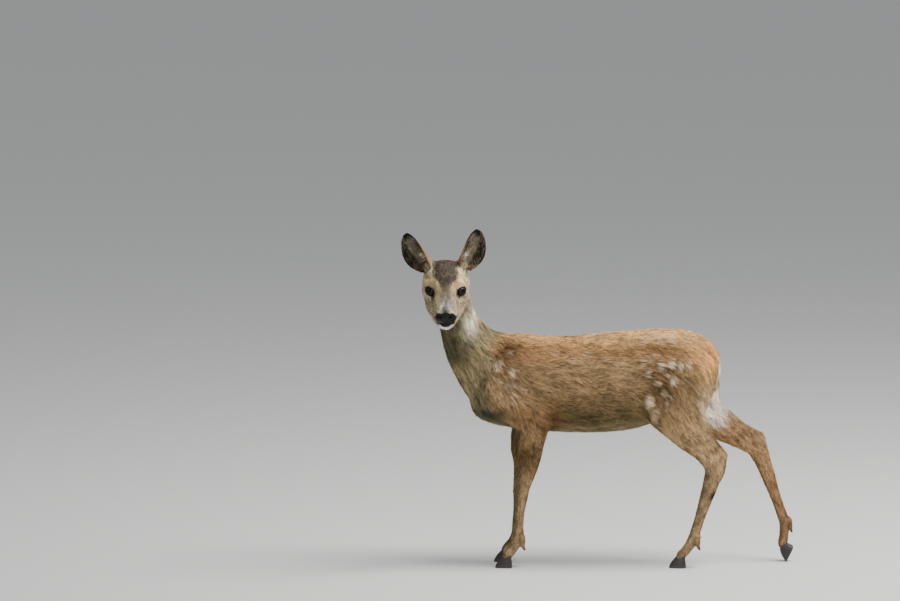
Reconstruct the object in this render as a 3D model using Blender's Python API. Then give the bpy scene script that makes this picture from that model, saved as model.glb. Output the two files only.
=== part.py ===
"""A roe deer fawn, about ten weeks old: a life-size, still model that stands with its right hind leg
stretched back and its head turned round to its left side.

The fawn faces -X, its left side is towards -Y and +Z is up. The origin is on the floor, under the middle of
the whole model. Rows and landmarks are in millimetres and are turned into metres where meshes are made.
Every surface is the outside of the short summer coat.
"""

import math

import bmesh
import bpy
from mathutils import Matrix, Vector

MM = 0.001
GAP = 0.3  # clearance between neighbouring pieces
SIDES = {"left": -1, "right": 1}

# Driving sizes of the fawn.
WITHERS = 471  # height of the shoulders' top
CROUP = 478  # height of the rump's top
BELLY = 269  # lowest line of the trunk
BREAST_X = -262  # foremost point of the chest
RUMP_X = 244  # rearmost point of the buttocks
NOSE_X = 78  # from between the eyes forward to the nose
POLL_X = -82  # and back to the back of the skull
EYE_RADIUS = 12.3
EYE_PLACE = (3, 28, 1.5)  # the centre of the left eyeball, in the head's own axes
EAR_LENGTH = 82
HOOF_LENGTH = 34  # along the sole
HOOF_HEIGHT = 22

# How the head is carried: it looks back past the left shoulder, a little down.
BETWEEN_EYES = (-310, -98, 567)
HEAD_HEADING = -90  # degrees from +X, seen from above
HEAD_DIP = 30

# Fineness of the fused flesh: cells of the fusing grid, rounds of easing, triangles kept.
BODY_CELL, BODY_EASING, BODY_FACES = 4.0, 9, 3200
HEAD_CELL, HEAD_EASING, HEAD_FACES = 2.2, 7, 1900

SUMMER_COAT = (0.42, 0.22, 0.10, 1.0)
EYE_BROWN = (0.010, 0.007, 0.005, 1.0)
HOOF_BLACK = (0.030, 0.026, 0.024, 1.0)


# ---------------------------------------------------------------- meshes and objects


def clear_scene():
    for item in list(bpy.data.objects):
        bpy.data.objects.remove(item, do_unlink=True)


def material(name, colour, roughness):
    made = bpy.data.materials.new(name)
    made.use_nodes = True
    shader = made.node_tree.nodes["Principled BSDF"]
    shader.inputs["Base Color"].default_value = colour
    shader.inputs["Roughness"].default_value = roughness
    shader.inputs["Metallic"].default_value = 0.0
    return made


def face_outwards(form):
    """Turns every face of a closed form outwards."""
    bmesh.ops.recalc_face_normals(form, faces=form.faces[:])
    if form.calc_volume(signed=True) < 0:
        bmesh.ops.reverse_faces(form, faces=form.faces[:])


def new_object(name, form, finish=None):
    """An object from a bmesh, which is used up."""
    mesh = bpy.data.meshes.new(name)
    form.to_mesh(mesh)
    form.free()
    made = bpy.data.objects.new(name, mesh)
    bpy.context.scene.collection.objects.link(made)
    if finish:
        mesh.materials.append(finish)
    return made


def settle(target):
    """Turns an object's modifiers into its mesh."""
    bpy.context.view_layer.update()
    graph = bpy.context.evaluated_depsgraph_get()
    mesh = bpy.data.meshes.new_from_object(target.evaluated_get(graph))
    target.modifiers.clear()
    target.data = mesh


def carve(target, cutter, operation="DIFFERENCE"):
    """Cuts one object with another, and removes the cutter."""
    cut = target.modifiers.new("Cut", "BOOLEAN")
    cut.operation = operation
    cut.solver = "EXACT"
    cut.object = cutter
    settle(target)
    bpy.data.objects.remove(cutter, do_unlink=True)


def copy_of(target, name):
    made = bpy.data.objects.new(name, target.data.copy())
    bpy.context.scene.collection.objects.link(made)
    return made


def keep_beyond(target, point, normal):
    """Keeps what lies beyond a plane, and closes the cut."""
    form = bmesh.new()
    form.from_mesh(target.data)
    everything = form.verts[:] + form.edges[:] + form.faces[:]
    bmesh.ops.bisect_plane(
        form,
        geom=everything,
        dist=1e-7,
        plane_co=Vector(point) * MM,
        plane_no=normal,
        clear_inner=True,
    )
    rim = [edge for edge in form.edges if edge.is_boundary]
    filled = bmesh.ops.triangle_fill(form, edges=rim, use_beauty=True, use_dissolve=False)
    made = [item for item in filled["geom"] if isinstance(item, bmesh.types.BMFace)]
    face_outwards(form)
    for face in made:
        face.smooth = False
    form.to_mesh(target.data)
    form.free()


def split(target, point, normal, beyond_name):
    """Parts an object with a thin cut. What lies beyond the plane becomes a new object."""
    normal = Vector(normal).normalized()
    beyond = copy_of(target, beyond_name)
    keep_beyond(beyond, Vector(point) + normal * GAP / 2, normal)
    keep_beyond(target, Vector(point) - normal * GAP / 2, -normal)
    return beyond


# ---------------------------------------------------------------- forms


def eased(rows, count):
    """Rows of numbers read from a smooth curve through the given rows."""
    last = len(rows) - 1
    read = []
    for i in range(count):
        place = i * last / (count - 1)
        k = min(int(place), last - 1)
        t = place - k
        p, a, b, n = (rows[max(0, min(last, k + j))] for j in (-1, 0, 1, 2))
        read.append(
            [
                b0 + 0.5 * t * (b1 - bp + t * (2 * bp - 5 * b0 + 4 * b1 - bn + t * (3 * (b0 - b1) + bn - bp)))
                for bp, b0, b1, bn in zip(p, a, b, n)
            ]
        )
    return read


def skinned(rings):
    """A closed bmesh over a row of rings with equal numbers of points, in millimetres."""
    form = bmesh.new()
    loops = [[form.verts.new(Vector(point) * MM) for point in ring] for ring in rings]
    around = range(len(loops[0]))
    for near, far in zip(loops, loops[1:]):
        for i in around:
            j = (i + 1) % len(near)
            form.faces.new((near[i], near[j], far[j], far[i]))
    form.faces.new(reversed(loops[0]))
    form.faces.new(loops[-1])
    face_outwards(form)
    return form


def stack(rows, squareness=2.3, count=28, steps=40):
    """Egg-shaped sections along X. A row is x, top, bottom, height of the greatest width, half width."""

    def full(value):
        return math.copysign(abs(value) ** (2 / squareness), value)

    rings = []
    for x, top, bottom, widest, half_width in eased(rows, steps):
        ring = []
        for i in range(count):
            turn = math.tau * i / count
            rise = top - widest if math.sin(turn) > 0 else widest - bottom
            ring.append((x, half_width * full(math.cos(turn)), widest + rise * full(math.sin(turn))))
        rings.append(ring)
    return skinned(rings)


def spindle(rows, count=18, steps=24):
    """A round-ended form along a smooth path. A row is x, y, z, half width, half depth and, for a form that
    twists, the turn of its width from Y towards X in degrees."""
    rows = [list(row) + [0.0] * (6 - len(row)) for row in rows]
    stations = eased(rows, steps)
    places = [Vector(row[:3]) for row in stations]
    rings = []
    for i, row in enumerate(stations):
        along = (places[min(i + 1, steps - 1)] - places[max(i - 1, 0)]).normalized()
        turn = math.radians(row[5])
        across = Vector((math.sin(turn), math.cos(turn), 0))
        across = (across - along * across.dot(along)).normalized()
        deep = along.cross(across)
        cap = min(row[3], row[4])
        ends = (-1,) if i == 0 else (1,) if i == steps - 1 else ()
        lifts = [(0.0, 1.0)]
        for end in ends:
            rounded = [(end * cap * math.sin(a), math.cos(a)) for a in (0.5, 0.95, 1.35)]
            lifts = sorted(lifts + rounded)
        for lift, share in lifts:
            ring = []
            for j in range(count):
                angle = math.tau * j / count
                ring.append(
                    places[i]
                    + along * lift
                    + across * (row[3] * share * math.cos(angle))
                    + deep * (row[4] * share * math.sin(angle))
                )
            rings.append(ring)
    return skinned(rings)


def ball(centre, radii, lean=0.0, fineness=3):
    """An ellipsoid, leaning by some degrees in the side view."""
    form = bmesh.new()
    bmesh.ops.create_icosphere(form, subdivisions=fineness, radius=1)
    shape = Matrix.Diagonal((*(Vector(radii) * MM), 1))
    place = Matrix.Translation(Vector(centre) * MM) @ Matrix.Rotation(math.radians(lean), 4, "Y")
    bmesh.ops.transform(form, matrix=place @ shape, verts=form.verts)
    return form


def fuse(target, cell):
    remesh = target.modifiers.new("Fuse", "REMESH")
    remesh.mode = "VOXEL"
    remesh.voxel_size = cell * MM
    settle(target)


def fused(name, forms, cell, easing, faces, hollows=()):
    """One skin over many overlapping forms, eased where they meet and thinned to about so many triangles."""
    whole = bmesh.new()
    for form in forms:
        part = bpy.data.meshes.new("part")
        form.to_mesh(part)
        form.free()
        whole.from_mesh(part)
        bpy.data.meshes.remove(part)
    made = new_object(name, whole)
    fuse(made, cell)
    for hollow in hollows:
        carve(made, new_object("hollow", hollow))
    if hollows:
        fuse(made, cell)
    ease = made.modifiers.new("Ease", "SMOOTH")
    ease.factor = 0.5
    ease.iterations = easing
    settle(made)
    thin = made.modifiers.new("Thin", "DECIMATE")
    thin.ratio = faces / (2 * len(made.data.polygons))
    settle(made)
    return made


def swollen(target, name):
    """A copy that is larger by the clearance all round, to cut a seat with."""
    made = copy_of(target, name)
    form = bmesh.new()
    form.from_mesh(made.data)
    face_outwards(form)
    form.normal_update()
    shifts = {vert: vert.normal * vert.calc_shell_factor() * GAP * MM for vert in form.verts}
    for vert, shift in shifts.items():
        vert.co += shift
    form.to_mesh(made.data)
    form.free()
    return made


def seat(body, plug):
    """Cuts the seat of a plug, such as an eye or a hoof, in the piece that holds it."""
    carve(body, swollen(plug, "seat"))


# ---------------------------------------------------------------- trunk and neck


def trunk_forms():
    yield stack(
        [
            (BREAST_X, 366, 326, 346, 14),
            (-252, 400, 303, 345, 33),
            (-232, 440, 291, 345, 46),
            (-205, 464, 283, 348, 53),
            (-165, WITHERS, 276, 347, 58),
            (-115, 466, 272, 345, 62),
            (-60, 464, BELLY, 345, 66),
            (0, 470, BELLY, 350, 70),
            (50, 475, 273, 355, 69),
            (95, CROUP, 284, 368, 64),
            (140, CROUP, 302, 384, 60),
            (180, 475, 318, 390, 56),
            (208, 463, 334, 396, 49),
            (230, 446, 356, 402, 37),
            (RUMP_X - 3, 424, 384, 405, 15),
        ]
    )
    # The withers' ridge, between the shoulder blades.
    yield spindle([(-215, 0, 452, 12, 14), (-150, 0, 454, 15, 15), (-80, 0, 446, 16, 15)])
    # The paunch, low on the flanks.
    yield ball((5, 0, 318), (110, 68, 46))


def neck_forms():
    yield spindle(
        [
            (-172, 0, 370, 46, 88),
            (-222, 0, 406, 44, 78),
            (-256, -3, 439, 40, 58),
            (-281, -11, 486, 36, 44, 20),
            (-292, -28, 532, 33, 38, 58),
            (-298, -50, 571, 31, 33, 92),
        ],
        count=28,
        steps=36,
    )


# ---------------------------------------------------------------- legs


def shoulder_forms(side, forward):
    """The shoulder blade and upper arm. forward shifts the arm ahead."""
    y = SIDES[side]
    yield spindle([(-144, 31 * y, 438, 13, 24), (-180, 45 * y, 398, 15, 38), (-214, 49 * y, 348, 17, 33)])
    yield spindle(
        [
            (-216, 46 * y, 343, 19, 30),
            (-178 - forward / 2, 51 * y, 326, 20, 36),
            (-128 - forward, 53 * y, 305, 17, 31),
        ]
    )


def foreleg_forms(side, forward, foot_x):
    """From the elbow to the coronet. forward shifts the elbow ahead; foot_x is where the fetlock stands."""
    y = SIDES[side]
    elbow_x = -127 - forward
    carpus_x = foot_x + 12 - forward / 3
    forearm = [
        (elbow_x, 53 * y, 302, 20, 32),
        (elbow_x - 11, 51 * y, 262, 17.5, 29),
        (elbow_x - 15, 48 * y, 225, 15, 26),
        (carpus_x + 6, 46 * y, 196, 13, 21),
        (carpus_x, 44 * y, 172, 13, 17.5),
    ]
    yield spindle(forearm)
    yield ball((elbow_x + 20, 52 * y, 298), (12, 12, 15))
    yield spindle(
        [
            (carpus_x + 1, 44 * y, 180, 12.5, 17),
            (carpus_x - 3, 43 * y, 150, 11.3, 14),
            (foot_x + 3, 42 * y, 108, 10, 11.8),
            (foot_x, 41 * y, 62, 10.3, 12),
        ]
    )
    yield from foot_forms(f"fore_{side}")


def near_hindleg_forms():
    """The left hind leg, which stands under the rump."""
    y = SIDES["left"]
    yield spindle([(180, 33 * y, 414, 28, 52), (168, 42 * y, 362, 34, 60), (150, 47 * y, 318, 29, 52)])
    yield ball((119, 50 * y, 306), (25, 20, 30), lean=-20)
    yield spindle(
        [
            (150, 48 * y, 304, 27, 44),
            (176, 48 * y, 268, 20, 33),
            (204, 45 * y, 236, 14.5, 22),
            (226, 43 * y, 208, 13.5, 19),
        ]
    )
    yield from hock_forms((231, 42 * y, 202), heel=(20, 26), thigh=(196, 46 * y, 296))
    yield from shank_forms((231, 42 * y, 200), (186, 42 * y, 56))
    yield from foot_forms("hind_left")


def far_hindleg_forms():
    """The right hind leg, stretched back at the end of a step, on the tip of its toes."""
    y = SIDES["right"]
    yield spindle([(186, 33 * y, 412, 28, 50), (190, 42 * y, 358, 33, 53), (196, 47 * y, 318, 28, 48)])
    yield ball((166, 50 * y, 302), (26, 20, 28))
    yield spindle(
        [
            (198, 49 * y, 302, 26, 40),
            (236, 48 * y, 277, 20, 31),
            (278, 45 * y, 252, 14.5, 23),
            (312, 43 * y, 234, 13.5, 20),
        ]
    )
    yield from hock_forms((320, 42 * y, 228), heel=(7, 29), thigh=(240, 46 * y, 307))
    yield from shank_forms((321, 42 * y, 227), (374, 42 * y, 80))
    yield from foot_forms("hind_right")


def hock_forms(hock, heel, thigh):
    """The heel bone and the tendon that runs up to it. heel is how far it stands back and up."""
    hock = Vector(hock)
    tip = hock + Vector((heel[0], 0, heel[1]))
    yield spindle([(*tip, 9, 9), (*(tip + hock) / 2, 11, 16), (*(hock + Vector((0, 0, -14))), 12, 19)])
    middle = (tip + Vector(thigh)) / 2 + Vector((2, 0, -3))
    yield spindle([(*thigh, 14, 16), (*middle, 8, 9), (*tip, 8, 8)])


def shank_forms(hock, fetlock):
    """The long cannon bone of the hind foot, with the pad of fur of its gland on the outside."""
    hock, fetlock = Vector(hock), Vector(fetlock)
    girths = [(0.0, 13, 21), (0.2, 12, 18), (0.45, 10.6, 14.8), (0.72, 9.8, 12.3), (1.0, 10.3, 12.5)]
    yield spindle([(*hock.lerp(fetlock, share), width, depth) for share, width, depth in girths])
    gland = hock.lerp(fetlock, 0.34) + Vector((9, math.copysign(4, hock.y), 0))
    yield ball(gland, (8, 8, 14), lean=15)


def foot_forms(foot):
    """Fetlock and pastern, down into the hooves."""
    fetlock, coronet = Vector(FEET[foot][0]), Vector(FEET[foot][1])
    lean = math.degrees(math.atan2(fetlock.x - coronet.x, fetlock.z - coronet.z))
    yield ball(fetlock, (13, 11.5, 14), lean=lean)
    middle = fetlock.lerp(coronet, 0.5)
    yield spindle(
        [(*fetlock, 11, 12), (*middle, 10, 11), (*(coronet + Vector((0, 0, 4))), 12.5, 12)],
        steps=12,
    )


# Each foot: its fetlock, the middle of its coronet, and how many degrees its hooves tip on to their points.
FEET = {
    "fore_left": ((-165, -40, 54), (-187, -40, 20), 0),
    "fore_right": ((-167, 40, 54), (-189, 40, 20), 0),
    "hind_left": ((186, -42, 55), (162, -42, 20), 0),
    "hind_right": ((375, 42, 78), (370, 42, 30), 64),
}


def claw(coronet, tiptoe, finish, name):
    """One hoof: a flat, pointed sole that rises to a smaller coronet, set back."""
    levels = [(0.0, 1.0, 0.0), (0.12, 1.0, 0.2), (0.55, 0.86, 3.2), (1.0, 0.62, 6.5)]
    half_length, half_width = HOOF_LENGTH / 2, 6.6
    turn = Matrix.Rotation(math.radians(-tiptoe), 3, "Y")
    rings = []
    for height, size, back in levels:
        ring = []
        for i in range(12):
            angle = math.tau * i / 12
            pointed = 1 + 0.38 * math.cos(angle)
            x = back - 6.5 + half_length * size * math.cos(angle)
            y = half_width * (0.25 + 0.75 * size) * math.sin(angle) * pointed / 1.1
            ring.append(Vector(coronet) + turn @ Vector((x, y, height * HOOF_HEIGHT - 20)))
        rings.append(ring)
    hoof = new_object(name, skinned(rings), finish)
    if tiptoe:
        keep_beyond(hoof, (0, 0, 0), (0, 0, 1))
    return hoof


def dewclaw(root, tip, finish, name):
    """One of the two small horns behind the fetlock."""
    along = Vector(tip) - Vector(root)
    form = bmesh.new()
    bmesh.ops.create_cone(
        form, cap_ends=True, segments=8, radius1=4.2 * MM, radius2=2.2 * MM, depth=along.length * MM
    )
    turn = along.to_track_quat("Z", "Y").to_matrix().to_4x4()
    place = Matrix.Translation((Vector(root) + along / 2) * MM) @ turn
    bmesh.ops.transform(form, matrix=place, verts=form.verts)
    return new_object(name, form, finish)


def shoe(lower_leg, foot, finish):
    """Sets two hooves and two dewclaws on a leg."""
    fetlock, coronet, tiptoe = FEET[foot]
    outwards = math.copysign(1, fetlock[1])
    for where, side in (("outer", outwards), ("inner", -outwards)):
        middle = (coronet[0], coronet[1] + 7.4 * side, coronet[2])
        hoof = claw(middle, tiptoe, finish, f"hoof_{foot}_{where}")
        seat(lower_leg, hoof)
        behind = Vector((fetlock[0] + 8, fetlock[1] + 6.5 * side, fetlock[2] - 7))
        horn = dewclaw(behind, behind + Vector((6, side, -11)), finish, f"dewclaw_{foot}_{where}")
        seat(lower_leg, horn)


# ---------------------------------------------------------------- head

HEAD = (
    Matrix.Translation(Vector(BETWEEN_EYES))
    @ Matrix.Rotation(math.radians(HEAD_HEADING), 4, "Z")
    @ Matrix.Rotation(math.radians(HEAD_DIP), 4, "Y")
)
# In the head's own axes +X is towards the nose, +Z towards the crown and +Y the fawn's left.
LEFT_OF_HEAD = {"left": 1, "right": -1}


def in_head(form):
    """Moves a form from the head's own axes to where the head is carried."""
    turn = HEAD.to_3x3().to_4x4()
    place = Matrix.Translation(Vector(BETWEEN_EYES) * MM) @ turn
    bmesh.ops.transform(form, matrix=place, verts=form.verts)
    return form


def skull_forms():
    # Skull and upper jaw, from the poll to the nose.
    yield stack(
        [
            (POLL_X, 6, -14, -2, 13),
            (-74, 23, -26, 0, 28),
            (-60, 33, -37, -2, 39),
            (-44, 42, -43, -6, 46),
            (-26, 45.5, -46, -12, 48),
            (-8, 43, -46, -18, 46),
            (8, 36, -44, -22, 38.5),
            (22, 28.5, -41, -24, 31),
            (36, 21.5, -37, -22, 26.5),
            (50, 15, -33, -18, 24),
            (62, 10, -30, -15, 22),
            (71, 5, -27, -14, 18.5),
            (NOSE_X, -3, -21, -13, 11),
        ],
        squareness=2.2,
    )
    # Lower jaw and chin.
    yield stack(
        [
            (-48, -22, -50, -36, 30),
            (-28, -20, -55, -35, 40),
            (-8, -20, -57, -35, 42),
            (12, -20, -56, -35, 38.5),
            (30, -22, -53, -35, 31.5),
            (46, -24, -51, -35, 25.5),
            (60, -26, -48.5, -36, 19),
            (70, -27, -45, -35, 12),
            (75, -30, -41, -35, 6.5),
        ]
    )
    for side in LEFT_OF_HEAD.values():
        yield ball((-8, 28 * side, 19), (20, 10, 7), lean=12)  # brow
        yield ball((-30, 27 * side, -24), (28, 16, 25))  # jaw muscle
        yield ball((58, 11 * side, -18), (18, 13, 12), lean=10)  # upper lip
        yield ball((70, 10 * side, -7), (8, 8, 7))  # nostril's wing
    yield ball((71, 0, -8), (9, 13, 9))  # nose pad


def eye_hollows():
    """The face falls away in front of each eye, so that the eyes look forward as well as out."""
    for side in LEFT_OF_HEAD.values():
        yield ball((23, 37 * side, 7), (19, 17, 12), lean=20)


def nape_forms():
    yield spindle([(-306, -50, 598, 25, 18), (-299, -36, 562, 27, 20), (-291, -26, 530, 27, 20)])


def ear_root(side):
    return Vector((-46, 34 * LEFT_OF_HEAD[side], 23))


def ear(side, lean, finish):
    """A cupped leaf on a round root. lean is how far the tip falls outwards."""
    out = LEFT_OF_HEAD[side]
    up = Vector((-0.46, lean * out, 0.78)).normalized()
    front = Vector((1.0, 0.22 * out, 0.0))
    front = (front - up * front.dot(up)).normalized()
    across = front.cross(up) * -out  # towards the outside
    root = ear_root(side)
    # Share of the length, half width round the curve, curl in degrees, forward sag and outward swing.
    rows = [
        (0.00, 31.0, 250, 4, -3),
        (0.16, 34.0, 210, 2, -1),
        (0.34, 34.0, 160, 0, 3),
        (0.54, 30.5, 125, -1, 4),
        (0.76, 23.0, 105, -1.5, 2),
        (0.92, 12.5, 80, -0.5, -0.5),
        (1.00, 4.0, 60, 0.5, -2),
    ]
    grid = bmesh.new()
    lines = []
    columns = 9
    for share, half_width, curl, sag, swing in eased(rows, 9):
        curl = math.radians(curl)
        radius = 2 * half_width / curl
        line = []
        for i in range(columns):
            angle = curl * (i / (columns - 1) - 0.5)
            point = root + up * (share * EAR_LENGTH + 4 * math.sin(math.pi * share) * math.cos(angle))
            point += across * (radius * math.sin(angle) + swing)
            point += front * (radius * (1 - math.cos(angle)) + sag - 9)
            line.append(grid.verts.new(point * MM))
        lines.append(line)
    for low, high in zip(lines, lines[1:]):
        for i in range(columns - 1):
            grid.faces.new((low[i], low[i + 1], high[i + 1], high[i]))
    bmesh.ops.recalc_face_normals(grid, faces=grid.faces[:])
    made = new_object(f"ear_{side}", in_head(grid), finish)
    thick = made.modifiers.new("Thickness", "SOLIDIFY")
    thick.thickness = 2.6 * MM
    thick.offset = 0
    settle(made)
    knob = ball(root - front * 2 - across * 4, (17, 18, 15), fineness=1)
    carve(made, new_object("knob", in_head(knob)), "UNION")
    made.data.materials.clear()
    made.data.materials.append(finish)
    return made


def seat_ear(head, plug, side):
    """Cuts a plain socket for the root of an ear, open into its cup."""
    root = HEAD @ ear_root(side)
    core = bmesh.new()
    for vert in plug.data.vertices:
        if (vert.co / MM - root).length < 34:
            core.verts.new(vert.co)
    hull = bmesh.ops.convex_hull(core, input=core.verts[:])
    spare = [item for item in hull["geom_interior"] if isinstance(item, bmesh.types.BMVert)]
    bmesh.ops.delete(core, geom=spare, context="VERTS")
    whole = new_object("core", core)
    seat(head, whole)
    bpy.data.objects.remove(whole, do_unlink=True)


def eye(side, finish):
    centre = HEAD @ (Vector(EYE_PLACE) * Vector((1, LEFT_OF_HEAD[side], 1)))
    form = bmesh.new()
    bmesh.ops.create_uvsphere(form, u_segments=14, v_segments=8, radius=EYE_RADIUS * MM)
    # The poles lie on the line of sight, out to the side and a little forward.
    sight = HEAD.to_3x3() @ Vector((0.5, LEFT_OF_HEAD[side], 0.08))
    turn = sight.to_track_quat("Z", "Y").to_matrix().to_4x4()
    bmesh.ops.transform(form, matrix=Matrix.Translation(centre * MM) @ turn, verts=form.verts)
    return new_object(f"eye_{side}", form, finish)


def nostrils(head):
    for side in LEFT_OF_HEAD.values():
        pit = ball((NOSE_X, 9.2 * side, -9), (6, 2.9, 3.4), fineness=1)
        carve(head, new_object("pit", in_head(pit)))


# ---------------------------------------------------------------- parting the body


def leg_region(side, front_x, rear_x, crotch, outer_top, inner_y, grow):
    """The wedge that takes a leg out of the trunk: its roof rises from the crotch to the outside."""
    y, far_out = SIDES[side], 130
    corners = []
    for x in (front_x - grow, rear_x + grow):
        for across, height in (
            (inner_y - grow, -30),
            (inner_y - grow, crotch + grow),
            (far_out, outer_top + grow),
            (far_out, -30),
        ):
            corners.append((x, across * y, height))
    form = bmesh.new()
    for corner in corners:
        form.verts.new(Vector(corner) * MM)
    bmesh.ops.convex_hull(form, input=form.verts[:])
    face_outwards(form)
    return form


def take_leg(body, name, *where):
    """Takes a leg out of the body as an object of its own."""
    leg = copy_of(body, name)
    carve(leg, new_object("region", leg_region(*where, grow=0)), "INTERSECT")
    carve(body, new_object("region", leg_region(*where, grow=GAP)))
    return leg


def finish_flesh(pieces, coat):
    for piece in pieces:
        piece.data.materials.clear()
        piece.data.materials.append(coat)
        piece.data.shade_smooth()
        piece.data.set_sharp_from_angle(angle=math.radians(50))


def stand_on_origin():
    """Puts the origin on the floor under the middle of the whole model."""
    nodes = [item for item in bpy.data.objects if item.type == "MESH"]
    points = [vert.co for item in nodes for vert in item.data.vertices]
    middle = [(min(p[i] for p in points) + max(p[i] for p in points)) / 2 for i in range(2)]
    for item in nodes:
        item.data.transform(Matrix.Translation((-middle[0], -middle[1], 0)))
    print("moved by", [round(-m * 1000, 2) for m in middle], "mm")


def main():
    clear_scene()
    coat = material("summer_coat", SUMMER_COAT, 0.85)
    horn = material("hoof_horn", HOOF_BLACK, 0.45)
    dark_eye = material("eye", EYE_BROWN, 0.08)

    forms = [*trunk_forms(), *neck_forms(), *nape_forms(), *near_hindleg_forms(), *far_hindleg_forms()]
    for side, forward, foot in (("left", 0, "fore_left"), ("right", 13, "fore_right")):
        forms += [*shoulder_forms(side, forward), *foreleg_forms(side, forward, FEET[foot][0][0])]
    trunk = fused("trunk", forms, BODY_CELL, BODY_EASING, BODY_FACES)

    legs = {
        "fore_left": take_leg(trunk, "foreleg_left_upper", "left", -246, -84, 262, 355, 16),
        "fore_right": take_leg(trunk, "foreleg_right_upper", "right", -246, -84, 262, 355, 16),
        "hind_left": take_leg(trunk, "hindleg_left_upper", "left", 92, 290, 286, 415, 5),
        "hind_right": take_leg(trunk, "hindleg_right_upper", "right", 92, 420, 286, 415, 5),
    }
    neck = split(trunk, (-238, 0, 390), (-0.918, 0, 0.396), "neck")

    throat = HEAD @ Vector((-46, 0, -56))
    along_neck = Vector((-0.03, -0.62, 0.785)).normalized()
    head = fused(
        "head",
        [*map(in_head, skull_forms()), *neck_forms(), *nape_forms()],
        HEAD_CELL,
        HEAD_EASING,
        HEAD_FACES,
        hollows=[*map(in_head, eye_hollows())],
    )
    keep_beyond(neck, throat - along_neck * GAP / 2, -along_neck)
    keep_beyond(head, throat + along_neck * GAP / 2, along_neck)

    flesh = [trunk, neck, head]
    for foot, upper in legs.items():
        height = 172 if foot.startswith("fore") else 176
        lower = split(upper, (0, 0, height), (0, 0, -1), upper.name.replace("upper", "lower"))
        shoe(lower, foot, horn)
        flesh += [upper, lower]

    for side, lean in (("left", 0.45), ("right", 0.74)):
        seat_ear(head, ear(side, lean, coat), side)
        seat(head, eye(side, dark_eye))
    nostrils(head)

    dock = spindle([(226, 0, 430, 8, 7), (234, 0, 414, 9, 8), (236, 0, 396, 6, 6)], count=10, steps=4)
    tail = new_object("tail", dock)
    seat(trunk, tail)
    finish_flesh([*flesh, tail], coat)
    stand_on_origin()


main()
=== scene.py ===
# %% [markdown]
# # A roe deer fawn in its first summer
# The animal is about ten weeks old. It stands side-on, one hind leg stretched back on the points of its
# hooves, and looks at us over its left shoulder. Two things make it look alive: a head with the right
# folds round eyes, nose and mouth, and a coat in which single tufts can be seen. We dress a finished
# set of solids, which we load first. They reach out to the tips of the coat, so everything we add lies
# a little inside them.

# %% Load the solids
import math

import bmesh
import bpy
import numpy as np
from mathutils import Matrix, Vector
from mathutils.bvhtree import BVHTree
from mathutils.kdtree import KDTree


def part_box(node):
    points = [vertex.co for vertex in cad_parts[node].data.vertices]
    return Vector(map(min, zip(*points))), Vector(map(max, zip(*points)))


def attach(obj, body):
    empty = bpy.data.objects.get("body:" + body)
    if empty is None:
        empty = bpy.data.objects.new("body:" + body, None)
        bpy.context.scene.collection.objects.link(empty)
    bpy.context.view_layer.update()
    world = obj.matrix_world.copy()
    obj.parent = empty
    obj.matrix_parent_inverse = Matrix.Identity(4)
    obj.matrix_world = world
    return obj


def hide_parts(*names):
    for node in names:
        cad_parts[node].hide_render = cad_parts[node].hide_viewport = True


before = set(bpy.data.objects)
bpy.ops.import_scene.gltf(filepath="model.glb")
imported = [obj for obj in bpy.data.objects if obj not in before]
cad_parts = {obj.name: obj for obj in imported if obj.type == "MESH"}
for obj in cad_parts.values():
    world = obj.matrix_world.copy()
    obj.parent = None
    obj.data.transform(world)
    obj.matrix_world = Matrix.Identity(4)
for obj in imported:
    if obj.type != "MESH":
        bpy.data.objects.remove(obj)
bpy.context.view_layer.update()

# %% [markdown]
# ## Where things are
# We measure in millimetres from a point on the floor, as the solids do: -X is towards the chest, -Y is
# the fawn's left side, +Z is up. The head has axes of its own, because a face is easier to describe
# when its nose points along X and its crown along Z. Both sets of axes are found from the eyes.

# %% Axes of the body and of the head
MM = 0.001
BETWEEN_EYES = Vector((-310, -98, 567))
EYE_AHEAD, EYE_APART, EYE_ABOVE = 3, 28, 1.5
EYE_RADIUS = 12.3
HEAD_TURN = Matrix.Rotation(math.radians(-90), 3, "Z") @ Matrix.Rotation(math.radians(30), 3, "Y")
LEFT_OF_HEAD = {"left": 1, "right": -1}


def middle_of(node):
    low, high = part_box(node)
    return (low + high) / 2


eyes_middle = (middle_of("eye_left") + middle_of("eye_right")) / 2
head_centre = eyes_middle / MM - HEAD_TURN @ Vector((EYE_AHEAD, 0, EYE_ABOVE))
SHIFT = head_centre - BETWEEN_EYES  # from the solids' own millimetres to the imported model's
HEAD_AXES = np.array(HEAD_TURN)


def at(x, y, z):
    """A point of the body, in metres."""
    return (Vector((x, y, z)) + SHIFT) * MM


def in_head(x, y, z):
    """A point of the head, given in the head's own axes, in metres."""
    return (head_centre + HEAD_TURN @ Vector((x, y, z))) * MM


def body_mm(points):
    """Points in metres as millimetres in the body's axes."""
    return points / MM - np.array(SHIFT)


def head_mm(points):
    """Points in metres as millimetres in the head's axes."""
    return (points / MM - np.array(head_centre)) @ HEAD_AXES


print("shift of the solids:", SHIFT)

# %% [markdown]
# ## Camera, floor and light
# A long lens from a good distance keeps the body's proportions. The floor is plain and pale. The light
# is that of a bright, overcast day: a broad soft lamp above, a weaker one from the front, and an even
# sky.

# %% Camera


def added(name, data):
    """A new object, put into the scene."""
    made = bpy.data.objects.new(name, data)
    bpy.context.scene.collection.objects.link(made)
    return made


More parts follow.
